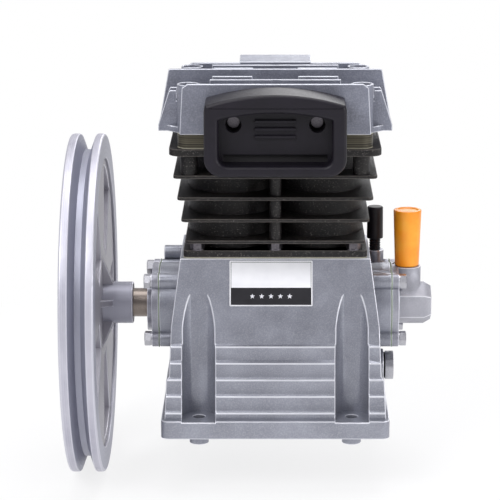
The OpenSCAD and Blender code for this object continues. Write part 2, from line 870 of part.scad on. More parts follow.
// Air filter
module arch_outline(w, h, z0, r, arch_r) {
    intersection() {
        translate([0, z0 + h / 2]) round_rect(w, h, r);
        translate([0, z0 + h - arch_r]) circle(r = arch_r, $fn = 96);
    }
}
module filter_outline(inset) {
    arch_outline(filter_w - 2 * inset, filter_h - 2 * inset, filter_z + inset,
        filter_corner_r - inset, filter_arch_r);
}
module mouth_outline() {
    arch_outline(mouth_w, mouth_h, mouth_z, mouth_corner_r, mouth_arch_r);
}
module at_filter_screws() {
    for (sx = [-1, 1]) translate([sx * screw_x, 0, screw_z]) children();
}
mouth_back = filter_front + mouth_d;
cavity_front = mouth_back + mouth_wall_t;
module filter_housing() {
    color(black_plastic) difference() {
        union() {
            difference() {
                along_y(filter_front, filter_back) filter_outline(0);
                along_y(cavity_front, filter_back + over) filter_outline(filter_wall);
                along_y(filter_front - over, mouth_back) mouth_outline();
                span([-slot_w / 2, mouth_back - over, mouth_z],
                    [slot_w / 2, cavity_front + over, mouth_z + slot_h]);
            }
            at_filter_screws() bar_y(screw_tube_r, mouth_back, filter_back);
            for (i = [0:grille_n - 1])
                span([-grille_w / 2, mouth_back - grille_proud, grille_z + i * grille_pitch],
                    [grille_w / 2, mouth_back + over, grille_z + i * grille_pitch + grille_t]);
        }
        at_filter_screws() bar_y(screw_recess_r, filter_front, filter_back - screw_seat_t);
        at_filter_screws() bar_y(m5_r + screw_play, filter_front, filter_back + over);
    }
}
module filter_base() {
    color(black_plastic) difference() {
        along_y(filter_back, filter_back_y) filter_outline(base_inset);
        at_passages() bar_y(inlet_r, filter_back - over, filter_back_y + over, 0, inlet_z);
        at_filter_screws() bar_y(m5_r + screw_play, filter_back - over, filter_back_y + over);
        span([-flange_w / 2, -flange_d / 2 - seat_gap, filter_z - over],
            [flange_w / 2, filter_back_y + over, block_z + seat_gap]);
    }
}
module filter_element() {
    color(felt) difference() {
        along_y(cavity_front + element_gap, cavity_front + element_gap + element_t)
            filter_outline(filter_wall + element_gap);
        at_filter_screws() bar_y(screw_tube_r + element_gap, filter_front, filter_back + over);
    }
}
module filter_screws() {
    seat = filter_back - screw_seat_t;
    color(steel) at_filter_screws() {
        bar_y(m5_r, seat - over, filter_back_y + screw_hole_l - over);
        bar_y(m5_pan_r, seat - m5_pan_h, seat);
    }
}

// Bearing covers, made for the right side and mirrored for the left
module cover_body(boss_r, boss_x) {
    bar_x(cover_r, cover_in, cover_out, 0, axis_h);
    at_lugs() bar_x(lug_r, cover_in, cover_out);
    bar_x(spigot_r, spigot_x, cover_in + over, 0, axis_h);
    bar_x(boss_r, cover_in, boss_x, 0, axis_h);
}
module cover_cuts() {
    bar_x(bearing_r, spigot_x - over, bearing_x, 0, axis_h);
    at_lugs() bar_x(m6_r + screw_play, cover_in - over, cover_out + over);
}
module left_cover() {
    color(cast_alloy) left_side() difference() {
        cover_body(seal_boss_r, seal_boss_x);
        cover_cuts();
        bar_x(seal_r, seal_x - seal_w, seal_boss_x + over, 0, axis_h);
        bar_x(journal_r + over, bearing_x - over, seal_x, 0, axis_h);
    }
}
module right_cover() {
    color(cast_alloy) difference() {
        cover_body(elbow_boss_r, elbow_boss_x);
        cover_cuts();
        bar_x(elbow_thread_r, bearing_x - over, elbow_boss_x + over, 0, axis_h);
        bar_z(neck_out_r + neck_relief, axis_h + elbow_boss_r, axis_h + cover_r + over, filler_x);
        bar_z(cap_d / 2 + neck_relief, min(neck_z, axis_h + cover_r), axis_h + cover_r + over, filler_x);
    }
}
module cover_gasket() {
    color(gasket_green) difference() {
        union() {
            bar_x(cover_r + seat_gap, cover_x, cover_in, 0, axis_h);
            at_lugs() bar_x(lug_r + seat_gap, cover_x, cover_in);
        }
        bar_x(spigot_r, cover_x - over, cover_in + over, 0, axis_h);
        at_lugs() bar_x(m6_r + screw_play, cover_x - over, cover_in + over);
    }
}
module left_cover_gasket() { left_side() cover_gasket(); }
module right_cover_gasket() { cover_gasket(); }
module cover_bolts() {
    color(steel) at_lugs() {
        bar_x(m6_r, cover_bolt_in, cover_out + over);
        bar_x(bolt_washer_r, cover_out, cover_out + bolt_washer_t);
        hex_x(m6_af, cover_out + bolt_washer_t, cover_out + bolt_washer_t + m6_head, 0, 0, hex_turn);
    }
}
module left_cover_bolts() { left_side() cover_bolts(); }
module right_cover_bolts() { cover_bolts(); }

// Ball bearings
mid_bearing_x = (bearing_x + bearing_in_x) / 2;
module race_cut() {
    translate([mid_bearing_x, 0, axis_h]) rotate([0, 90, 0])
        rotate_extrude() translate([race_r, 0]) circle(r = race_groove_r);
}
module outer_ring() {
    color(steel) difference() {
        bar_x(bearing_r, bearing_in_x, bearing_x, 0, axis_h);
        bar_x(outer_ring_in_r, bearing_in_x - over, bearing_x + over, 0, axis_h);
        race_cut();
    }
}
module inner_ring() {
    color(steel) difference() {
        bar_x(inner_ring_r, bearing_in_x, bearing_x, 0, axis_h);
        bar_x(journal_r, bearing_in_x - over, bearing_x + over, 0, axis_h);
        race_cut();
    }
}
module bearing_balls() {
    color(machined_alloy) translate([mid_bearing_x, 0, axis_h]) rotate([0, 90, 0]) {
        for (i = [0:ball_n - 1]) rotate([0, 0, i * 360 / ball_n])
            translate([race_r, 0, 0]) sphere(r = ball_r);
        difference() {
            cylinder(r = race_r + cage_t / 2, h = cage_w, center = true);
            cylinder(r = race_r - cage_t / 2, h = cage_w + over, center = true);
        }
    }
}
module left_bearing_outer_ring() { left_side() outer_ring(); }
module right_bearing_outer_ring() { outer_ring(); }
module left_bearing_inner_ring() { left_side() inner_ring(); }
module right_bearing_inner_ring() { inner_ring(); }
module left_bearing_balls() { left_side() bearing_balls(); }
module right_bearing_balls() { bearing_balls(); }
module shaft_seal() {
    color(seal_brown) left_side() difference() {
        bar_x(seal_r, seal_x - seal_w, seal_x, 0, axis_h);
        bar_x(neck_r + run_gap, seal_x - seal_w - over, seal_x + over, 0, axis_h);
    }
}

// Sight glass and drain plug
module sight_glass_ring() {
    color(steel) difference() {
        union() {
            bar_x(sight_d / 2, sight_boss_x + sight_seal_t, sight_x, sight_y, sight_z);
            bar_x(sight_hole_r - thread_gap, cavity_w / 2 + over, sight_boss_x + sight_seal_t + over,
                sight_y, sight_z);
        }
        bar_x(sight_hole_r - liner_wall, cavity_w / 2, sight_x, sight_y, sight_z);
        bar_x(sight_lens_r, sight_x - sight_flange_t, sight_x + over, sight_y, sight_z);
    }
}
module sight_glass_lens() {
    color(oil_glass) bar_x(sight_lens_r, sight_x - sight_flange_t, sight_x - sight_flange_t + sight_lens_t,
        sight_y, sight_z);
}
module sight_glass_seal() {
    color(black_plastic) difference() {
        bar_x(sight_d / 2 - over, sight_boss_x, sight_boss_x + sight_seal_t, sight_y, sight_z);
        bar_x(sight_hole_r, sight_boss_x - over, sight_boss_x + sight_seal_t + over, sight_y, sight_z);
    }
}
module drain_plug() {
    face = skirt_d / 2 + drain_boss_t;
    color(steel) {
        bar_y(drain_r - thread_gap, cavity_d / 2 + over, face + over, 0, drain_z);
        bar_y(drain_flange_r, face, face + drain_flange_t, 0, drain_z);
        hex_y(drain_af, face + drain_flange_t, face + drain_flange_t + drain_head, 0, drain_z);
    }
}

// Oil filler elbow and name plate
module filler_elbow() {
    end_x = elbow_boss_x + elbow_body_l;
    color(blasted_alloy) difference() {
        union() {
            hex_x(elbow_af, elbow_boss_x, end_x, 0, axis_h);
            translate([end_x, 0, axis_h]) rotate([0, 90, 0])
                cylinder(d1 = elbow_af / cos(30), d2 = elbow_bevel_share * elbow_af / cos(30),
                    h = elbow_l - elbow_body_l, $fn = 6);
            bar_x(elbow_thread_r - thread_gap, elbow_boss_x - elbow_thread_l, elbow_boss_x + over, 0, axis_h);
            difference() {
                bar_z(neck_out_r, axis_h, neck_z, filler_x);
                span([0, -neck_out_r, axis_h - over],
                    [elbow_boss_x, neck_out_r, axis_h + elbow_boss_r + neck_relief]);
            }
        }
        bar_z(neck_in_r, axis_h, neck_z + over, filler_x);
        bar_x(bore_in_r, elbow_boss_x - elbow_thread_l - over, filler_x, 0, axis_h);
    }
}
module name_plate() {
    color(tag_white) translate([tag_x, -deck_d / 2, deck_z]) rotate([90 - slope_angle, 0, 0])
        translate([0, -tag_drop - tag_h / 2, 0]) linear_extrude(tag_t)
            round_rect(tag_w, tag_h, tag_corner_r);
}

// Pistons, their pins and rings, and the upper part of the rods, at the top of the stroke
function ring_top(i) = crown_z - ring_drop - i * ring_pitch;
module piston() {
    r = bore_d / 2 - piston_gap;
    color(machined_alloy) difference() {
        bar_z(r, crown_z - piston_h, crown_z);
        bar_z(r - piston_wall, crown_z - piston_h - over, crown_z - crown_t - ring_n * ring_pitch);
        span([-eye_w / 2 - seat_gap, -r + piston_wall, crown_z - piston_h - over],
            [eye_w / 2 + seat_gap, r - piston_wall, wrist_z + eye_r + seat_gap]);
        bar_x(wrist_r, -r - over, r + over, 0, wrist_z);
        for (i = [0:ring_n - 1]) difference() {
            bar_z(r + over, ring_top(i) - ring_h, ring_top(i));
            bar_z(r - ring_depth, crown_z - piston_h, crown_z);
        }
    }
}
module piston_with_bosses() {
    r = bore_d / 2 - piston_gap;
    piston();
    color(machined_alloy) difference() {
        intersection() {
            bar_x(wrist_r + piston_wall, -r, r, 0, wrist_z);
            bar_z(r - ring_depth, crown_z - piston_h, crown_z);
        }
        bar_x(wrist_r, -r - over, r + over, 0, wrist_z);
        span([-eye_w / 2 - seat_gap, -r, crown_z - piston_h],
            [eye_w / 2 + seat_gap, r, crown_z]);
    }
}
module left_piston() { translate([-bore_x, 0, 0]) piston_with_bosses(); }
module right_piston() { translate([bore_x, 0, 0]) piston_with_bosses(); }
module piston_rings() {
    r = bore_d / 2;
    color(dark_steel) at_bores() for (i = [0:ring_n - 1]) difference() {
        bar_z(r, ring_top(i) - ring_h, ring_top(i));
        bar_z(r - ring_depth, crown_z - piston_h, crown_z);
    }
}
module wrist_pins() {
    color(steel) at_bores() difference() {
        bar_x(wrist_r, -wrist_l / 2, wrist_l / 2, 0, wrist_z);
        bar_x(wrist_bore_r, -wrist_l / 2 - over, wrist_l / 2 + over, 0, wrist_z);
    }
}
module rod_upper() {
    color(cast_alloy) difference() {
        union() {
            bar_x(eye_r, -eye_w / 2, eye_w / 2, 0, wrist_z);
            span([-rod_neck_t / 2, -rod_neck_w / 2, pin_z + part_h + seat_gap],
                [rod_neck_t / 2, rod_neck_w / 2, wrist_z]);
        }
        bar_x(wrist_r, -eye_w / 2 - over, eye_w / 2 + over, 0, wrist_z);
    }
}
module left_rod() { translate([-bore_x, 0, 0]) rod_upper(); }
module right_rod() { translate([bore_x, 0, 0]) rod_upper(); }

// Big ends of the rods, which stay upright on their crankpins
module big_end() {
    color(cast_alloy) difference() {
        union() {
            intersection() {
                bar_x(big_r, -big_w / 2, big_w / 2, 0, pin_z);
                span([-big_w, -big_r, pin_z], [big_w, big_r, pin_z + big_r]);
            }
            span([-big_w / 2, -ear_y, pin_z], [big_w / 2, ear_y, pin_z + ear_h]);
            span([-rod_neck_t / 2, -rod_neck_w / 2, pin_z], [rod_neck_t / 2, rod_neck_w / 2, pin_z + part_h]);
        }
        bar_x(pin_r + run_gap, -big_w, big_w, 0, pin_z);
        for (sy = [-1, 1]) bar_z(m5_r + thread_gap, pin_z - over, pin_z + ear_h + over, 0, sy * rod_bolt_y);
    }
}
module rod_cap() {
    color(cast_alloy) difference() {
        union() {
            intersection() {
                bar_x(big_r, -big_w / 2, big_w / 2, 0, pin_z);
                span([-big_w, -big_r, pin_z - big_r], [big_w, big_r, pin_z]);
            }
            span([-big_w / 2, -ear_y, pin_z - ear_h], [big_w / 2, ear_y, pin_z]);
            span([-dipper_w / 2, -dipper_t / 2, pin_z - big_r - dipper_l],
                [dipper_w / 2, dipper_t / 2, pin_z]);
        }
        bar_x(pin_r + run_gap, -big_w, big_w, 0, pin_z);
        for (sy = [-1, 1]) {
            bar_z(m5_r + thread_gap, pin_z - ear_h - over, pin_z + over, 0, sy * rod_bolt_y);
            bar_z(m5_af / 2 + thread_gap, pin_z - big_r, pin_z - ear_h, 0, sy * rod_bolt_y);
        }
    }
}
module rod_bolts() {
    color(dark_steel) for (sy = [-1, 1]) translate([0, sy * rod_bolt_y, pin_z]) {
        bar_z(m5_r, -ear_h - over, ear_h);
        bar_z(m5_af / 2, -ear_h - m5_head, -ear_h);
    }
}
module left_big_end() { translate([-bore_x, 0, 0]) big_end(); }
module right_big_end() { translate([bore_x, 0, 0]) big_end(); }
module left_rod_cap() { translate([-bore_x, 0, 0]) rod_cap(); }
module right_rod_cap() { translate([bore_x, 0, 0]) rod_cap(); }
module left_rod_bolts() { translate([-bore_x, 0, 0]) rod_bolts(); }
module right_rod_bolts() { translate([bore_x, 0, 0]) rod_bolts(); }

// Crankshaft with both throws upwards
module crank_web(x0, x1) {
    along_x(x0, x1) {
        translate([0, pin_z]) circle(r = web_r);
        translate([-web_r, axis_h]) square([2 * web_r, throw_r]);
        intersection() {
            translate([0, axis_h]) circle(r = counter_r);
            translate([-2 * counter_share * counter_r, axis_h - counter_r])
                square([4 * counter_share * counter_r, counter_r + throw_r / 2]);
        }
    }
}
module crankshaft() {
    color(dark_steel) difference() {
        union() {
            bar_x(neck_r, -nose_x, -bearing_x, 0, axis_h);
            bar_x(journal_r, -bearing_x - seat_gap, -bearing_in_x + over, 0, axis_h);
            bar_x(shoulder_r, -bearing_in_x, -web_out_x + over, 0, axis_h);
            bar_x(centre_r, -web_in_x - over, web_in_x + over, 0, axis_h);
            bar_x(shoulder_r, web_out_x - over, bearing_in_x, 0, axis_h);
            bar_x(journal_r, bearing_in_x - over, bearing_x - seat_gap, 0, axis_h);
            for (sx = [0, 1]) mirror([sx, 0, 0]) {
                crank_web(web_in_x, web_in_x + web_t);
                crank_web(web_out_x - web_t, web_out_x);
                bar_x(pin_r, bore_x - pin_l / 2 - over, bore_x + pin_l / 2 + over, 0, pin_z);
            }
        }
        span([-key_x, -key_w / 2, axis_h + neck_r - key_t / 2],
            [-key_x + key_l, key_w / 2, axis_h + neck_r + over]);
        bar_x(m8_r + thread_gap, -nose_x - over, -nose_x + wheel_bolt_l, 0, axis_h);
    }
}

// Belt wheel with one V groove and broad spokes
rim_pts = [
    [wheel_r - rim_t, wheel_x],
    [wheel_r - land_chamfer, wheel_x],
    [wheel_r, wheel_x + land_chamfer],
    [wheel_r, groove_x],
    [wheel_r - groove_depth, groove_x + (groove_w - groove_floor_w) / 2],
    [wheel_r - groove_depth, groove_x + (groove_w + groove_floor_w) / 2],
    [wheel_r, groove_x + groove_w],
    [wheel_r, wheel_out_x - land_chamfer],
    [wheel_r - land_chamfer, wheel_out_x],
    [wheel_r - rim_t, wheel_out_x]];
module wheel_window(i) {
    angle = spoke_first + (i + 0.5) * 360 / spoke_n;
    half = (360 / spoke_n - spoke_angle) / 2;
    edge = wheel_r / cos(half);
    rotate([0, 0, angle]) intersection() {
        difference() {
            circle(r = wheel_r - rim_t - window_gap);
            circle(r = window_in_r);
        }
        polygon([[0, 0], edge * [cos(half), -sin(half)], edge * [cos(half), sin(half)]]);
    }
}
module flywheel() {
    color(machined_alloy) translate([0, 0, axis_h]) difference() {
        union() {
            rotate([0, -90, 0]) rotate_extrude($fn = 96) polygon(rim_pts);
            difference() {
                bar_x(wheel_r - rim_t + over, -web_face_x - wheel_web_t, -web_face_x);
                along_x(-web_face_x - wheel_web_t - over, -web_face_x + over)
                    for (i = [0:spoke_n - 1]) wheel_window(i);
            }
            bar_x(hub_r, -hub_out_x, -hub_x);
            for (i = [0:spoke_n - 1]) rotate([spoke_first + i * 360 / spoke_n, 0, 0])
                translate([0, 0, -gusset_t / 2]) linear_extrude(gusset_t)
                    polygon([[-web_face_x - over, 0], [-gusset_x, 0], [-gusset_x, hub_r],
                        [-web_face_x, gusset_reach], [-web_face_x - over, gusset_reach]]);
        }
        bar_x(neck_r, -nose_x, -hub_x + over);
        bar_x(m8_r + screw_play, -hub_out_x - over, -nose_x + over);
        span([-hub_out_x - over, -key_w / 2, 0], [-hub_x + over, key_w / 2, neck_r + key_t / 2]);
    }
}
module flywheel_key() {
    color(steel) span([-key_x, -key_w / 2, axis_h + neck_r - key_t / 2],
        [-key_x + key_l, key_w / 2, axis_h + neck_r + key_t / 2]);
}
module flywheel_washer() {
    color(steel) difference() {
        bar_x(washer_r, -hub_out_x - washer_t, -hub_out_x, 0, axis_h);
        bar_x(m8_r + screw_play, -hub_out_x - washer_t - over, -hub_out_x + over, 0, axis_h);
    }
}
module flywheel_bolt() {
    face = -hub_out_x - washer_t;
    color(steel) {
        bar_x(m8_r, face - over, -nose_x + wheel_bolt_l - over, 0, axis_h);
        hex_x(m8_af, face - m8_head, face, 0, axis_h);
    }
}

// Filler cap and breather
module filler_cap() {
    top = neck_z + seat_gap + cap_h;
    color(cap_orange) translate([filler_x, 0, 0]) {
        translate([0, 0, neck_z + seat_gap])
            cylinder(r1 = cap_d / 2 - cap_taper, r2 = cap_d / 2, h = cap_h - cap_edge);
        translate([0, 0, top - cap_edge]) cylinder(r1 = cap_d / 2, r2 = cap_d / 2 - cap_edge, h = cap_edge);
        bar_z(cap_stem_r, neck_z - cap_stem_l, neck_z + seat_gap + over);
    }
}
module breather() {
    base = breather_boss_z + seat_gap;
    color(black_plastic) translate([breather_x, breather_y, 0]) {
        bar_z(breather_neck_d / 2, base, base + breather_neck_h + over);
        bar_z(breather_d / 2, base + breather_neck_h, breather_z - cap_edge);
        translate([0, 0, breather_z - cap_edge])
            cylinder(r1 = breather_d / 2, r2 = breather_d / 2 - cap_edge, h = cap_edge);
        bar_z(breather_stem_r, breather_boss_z - breather_stem_l, base + over);
    }
}

crankcase();
base_gasket();
cylinder_block();
plate_gasket();
valve_plate();
suction_reeds();
discharge_reeds();
head_gasket();
cylinder_head();
head_bolts();
block_bolts();
filter_base();
filter_element();
filter_housing();
filter_screws();
left_cover();
right_cover();
left_cover_gasket();
right_cover_gasket();
left_cover_bolts();
right_cover_bolts();
left_bearing_outer_ring();
right_bearing_outer_ring();
left_bearing_balls();
right_bearing_balls();
shaft_seal();
sight_glass_ring();
sight_glass_lens();
sight_glass_seal();
drain_plug();
filler_elbow();
name_plate();
left_piston();
right_piston();
piston_rings();
wrist_pins();
left_rod();
right_rod();
crankshaft();
left_bearing_inner_ring();
right_bearing_inner_ring();
flywheel();
flywheel_key();
flywheel_washer();
flywheel_bolt();
left_big_end();
left_rod_cap();
left_rod_bolts();
right_big_end();
right_rod_cap();
right_rod_bolts();
filler_cap();
breather();
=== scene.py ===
import math

import bmesh
import bpy
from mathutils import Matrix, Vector


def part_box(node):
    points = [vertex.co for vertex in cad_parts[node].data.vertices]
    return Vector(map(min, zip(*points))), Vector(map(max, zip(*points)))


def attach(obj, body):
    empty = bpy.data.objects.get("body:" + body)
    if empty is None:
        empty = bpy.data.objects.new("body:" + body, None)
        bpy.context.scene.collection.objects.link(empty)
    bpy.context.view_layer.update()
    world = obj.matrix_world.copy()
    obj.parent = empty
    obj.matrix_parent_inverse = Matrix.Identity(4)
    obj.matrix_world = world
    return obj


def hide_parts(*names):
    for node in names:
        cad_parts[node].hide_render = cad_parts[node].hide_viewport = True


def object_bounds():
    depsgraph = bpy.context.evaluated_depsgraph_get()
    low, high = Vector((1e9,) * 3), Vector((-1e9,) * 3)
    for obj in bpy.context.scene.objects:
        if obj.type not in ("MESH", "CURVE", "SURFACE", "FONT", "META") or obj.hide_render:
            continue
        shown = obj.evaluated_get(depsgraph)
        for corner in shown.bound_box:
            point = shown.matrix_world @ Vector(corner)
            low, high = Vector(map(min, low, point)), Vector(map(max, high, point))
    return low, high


bl_info = {
    "name": "Air compressor pump head",
    "version": (1, 0, 0),
    "blender": (4, 5, 0),
    "location": "3D View > Sidebar > Pump head",
    "description": "Builds the castings, wheel, filter, screws and finishes of a two-cylinder pump head",
    "category": "Object",
}

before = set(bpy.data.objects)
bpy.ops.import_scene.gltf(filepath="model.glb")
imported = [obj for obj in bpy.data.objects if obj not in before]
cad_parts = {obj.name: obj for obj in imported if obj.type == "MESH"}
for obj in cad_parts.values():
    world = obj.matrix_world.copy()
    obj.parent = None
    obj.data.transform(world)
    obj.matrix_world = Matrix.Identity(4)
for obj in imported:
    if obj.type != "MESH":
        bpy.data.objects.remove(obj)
CAD_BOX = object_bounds()
MM = 0.001

# Sizes and places on the part, in millimetres
AXIS_Z = 94.0
RIM_R = 130.0
RIM_IN_R = 111.0
HUB_R = 16.0
WHEEL_EDGE = 0.7
PLATE_EDGE = 0.5
MOULDED_EDGE = 0.4
COVER_FACE_X = 93.99
COVER_SCREW = {
    "flats": 10.0,
    "height": 4.6,
    "washer_r": 5.4,
    "washer_t": 1.2,
    "shank_r": 3.0,
    "shank_l": 10.8,
}
CAP_SEAT_Z = 123.9
BREATHER_RIB_Z = 130.9
BREATHER_HEAD_Z = 139.0

# Steps of roundings, curved corners and turned forms
EDGE_STEPS = 2
FRONT_STEPS = 5
ARC_STEPS = 4
CAP_STEPS = 64
BREATHER_STEPS = 48

# The floor, room, lamps and camera, in metres; the floor's own box is in millimetres
FLOOR_GAP = 0.3
FLOOR_THICK = 10
FLOOR_REACH = 30000.0
SKY_BANDS = ((0.0, "#8C8C92"), (0.35, "#C9C9D0"), (1.0, "#F2F2F6"))
SKY_LEVEL = 0.55
# Each lamp's name, place, size and power in watts
LAMPS = (
    ("key", (-0.9, -1.3, 1.5), 1.0, 21.0),
    ("fill", (1.5, -1.0, 0.7), 1.0, 12.0),
    ("top", (0.0, 0.1, 1.7), 1.1, 14.0),
    ("back", (0.4, 1.6, 1.0), 1.0, 9.0),
)
LAMP_AIM_Z = 0.12
CAMERA_AIM_Z = 0.1354
SENSOR_MM = 36.0
FAR_CLIP = 100.0

# Nodes of the frame that keep their own mesh, with the finish of each
KEPT = {
    "base_gasket": "fibre_gasket",
    "plate_gasket": "fibre_gasket",
    "head_gasket": "fibre_gasket",
    "left_cover_gasket": "green_gasket",
    "right_cover_gasket": "green_gasket",
    "suction_reeds": "polished_strip",
    "discharge_reeds": "polished_strip",
    "crankshaft": "turned_shaft",
    "flywheel_key": "turned_shaft",
    "left_bearing_outer_ring": "polished_strip",
    "right_bearing_outer_ring": "polished_strip",
    "left_bearing_inner_ring": "polished_strip",
    "right_bearing_inner_ring": "polished_strip",
    "left_bearing_balls": "polished_strip",
    "right_bearing_balls": "polished_strip",
    "wrist_pins": "polished_strip",
    "left_piston": "turned_alloy_inside",
    "right_piston": "turned_alloy_inside",
    "piston_rings": "ground_iron",
    "left_rod": "rough_alloy_inside",
    "right_rod": "rough_alloy_inside",
    "left_big_end": "rough_alloy_inside",
    "right_big_end": "rough_alloy_inside",
    "left_rod_cap": "rough_alloy_inside",
    "right_rod_cap": "rough_alloy_inside",
    "left_rod_bolts": "blackened_steel",
    "right_rod_bolts": "blackened_steel",
    "shaft_seal": "nitrile_rubber",
    "sight_glass_seal": "nitrile_rubber",
    "sight_glass_lens": "sight_glass",
    "filter_element": "filter_felt",
}

COLOURS = {"data_type": "RGBA"}
ALONG_A_LINE = {"noise_dimensions": "1D"}


# Colours and nodes
def linear(hex_code):
    """An sRGB hex colour as linear RGBA."""
    channels = []
    for i in (0, 2, 4):
        value = int(hex_code.lstrip("#")[i:i + 2], 16) / 255
        channels.append(value / 12.92 if value <= 0.04045 else ((value + 0.055) / 1.055) ** 2.4)
    return (*channels, 1.0)


def set_bands(elements, bands):
    """Gives a colour ramp its (place, hex) bands."""
    while len(elements) < len(bands):
        elements.new(0.5)
    for element, (place, colour) in zip(elements, bands):
        element.position = place
        element.color = linear(colour)


def add(tree, kind, settings=None, **links):
    """Adds a node. A socket is linked to its input, and a hex code is set there as a colour."""
    node = tree.nodes.new(kind)
    for name, value in (settings or {}).items():
        if name == "bands":
            set_bands(node.color_ramp.elements, value)
        else:
            setattr(node, name, value)
    for name, value in links.items():
        key = int(name[1:]) if name[0] == "i" and name[1:].isdigit() else name.replace("_", " ")
        socket = node.inputs[key]
        if isinstance(value, bpy.types.NodeSocket):
            tree.links.new(value, socket)
        else:
            socket.default_value = linear(value) if isinstance(value, str) else value
    return node


def repeats(size_mm):
    """The scale of a pattern whose features are about this size."""
    return 1 / (size_mm * MM)


def new_material(name, hex_code, metallic, roughness, **sockets):
    """A material with a plain shader and its object coordinates."""
    material = bpy.data.materials.new(name)
    material.use_nodes = True
    material.diffuse_color = linear(hex_code)
    tree = material.node_tree
    shader = tree.nodes["Principled BSDF"]
    shader.inputs["Base Color"].default_value = linear(hex_code)
    shader.inputs["Metallic"].default_value = metallic
    shader.inputs["Roughness"].default_value = roughness
    for key, value in sockets.items():
        shader.inputs[key.replace("_", " ")].default_value = value
    place = add(tree, "ShaderNodeTexCoord").outputs["Object"]
    return material, tree, shader, place


def laid(tree, under, over, pattern, stops):
    """A tone with another laid over it where a pattern is strong; stops are two (pattern, share) pairs."""
    (low, low_share), (high, high_share) = stops
    share = add(tree, "ShaderNodeMapRange", None, Value=pattern, From_Min=low, From_Max=high,
                To_Min=low_share, To_Max=high_share).outputs["Result"]
    return add(tree, "ShaderNodeMix", COLOURS, i0=share, i6=under, i7=over).outputs[2]


def painted_edge_highlight(tree, under, over, low, high):
    """A painted highlight: a tone laid brighter where the casting's own mesh is marked as an edge."""
    mark = add(tree, "ShaderNodeAttribute", {"attribute_name": "edge"}).outputs["Fac"]
    return laid(tree, under, over, mark, ((low, 0.0), (high, 1.0)))


def surfaced(tree, shader, tone, relief, depth_mm, strength, marks=None, stops=None):
    """Joins a tone and a relief to the shader, and a roughness that follows the marks if they are given."""
    tree.links.new(tone, shader.inputs["Base Color"])
    if marks:
        (low, low_rough), (high, high_rough) = stops
        rough = add(tree, "ShaderNodeMapRange", None, Value=marks, From_Min=low, From_Max=high,
                    To_Min=low_rough, To_Max=high_rough)
        tree.links.new(rough.outputs["Result"], shader.inputs["Roughness"])
    bump = add(tree, "ShaderNodeBump", None, Height=relief, Distance=depth_mm * MM, Strength=strength)
    tree.links.new(bump.outputs["Normal"], shader.inputs["Normal"])


# Materials, one function for each way that a real surface was made
def make_cast_alloy(name, body, light, dark, rough, grain_mm, grain_depth_mm):
    """Aluminium alloy left as it was cast: satin grey in slow clouds, a fine skin, and edges brightened with
    a painted highlight.
    """
    cloud_mm = 26
    satin_mm = 9
    material, tree, shader, place = new_material(name, body, 0.55, rough)
    cloud = add(tree, "ShaderNodeTexNoise", None, Vector=place, Scale=repeats(cloud_mm), Detail=4.0,
                Roughness=0.6).outputs["Fac"]
    skin = add(tree, "ShaderNodeTexNoise", None, Vector=place, Scale=repeats(grain_mm), Detail=3.0,
               Roughness=0.7).outputs["Fac"]
    satin = add(tree, "ShaderNodeTexNoise", None, Vector=place, Scale=repeats(satin_mm), Detail=4.0,
                Roughness=0.6).outputs["Fac"]
    tone = laid(tree, dark, body, cloud, ((0.35, 0.0), (0.68, 1.0)))
    tone = laid(tree, tone, light, skin, ((0.45, 0.0), (0.75, 0.28)))
    # painted highlight: the rounded edges are laid brighter
    tone = painted_edge_highlight(tree, tone, light, 0.3, 0.85)
    surfaced(tree, shader, tone, skin, grain_depth_mm, 1.0, satin, ((0.3, rough - 0.05), (0.7, rough + 0.08)))
    return material


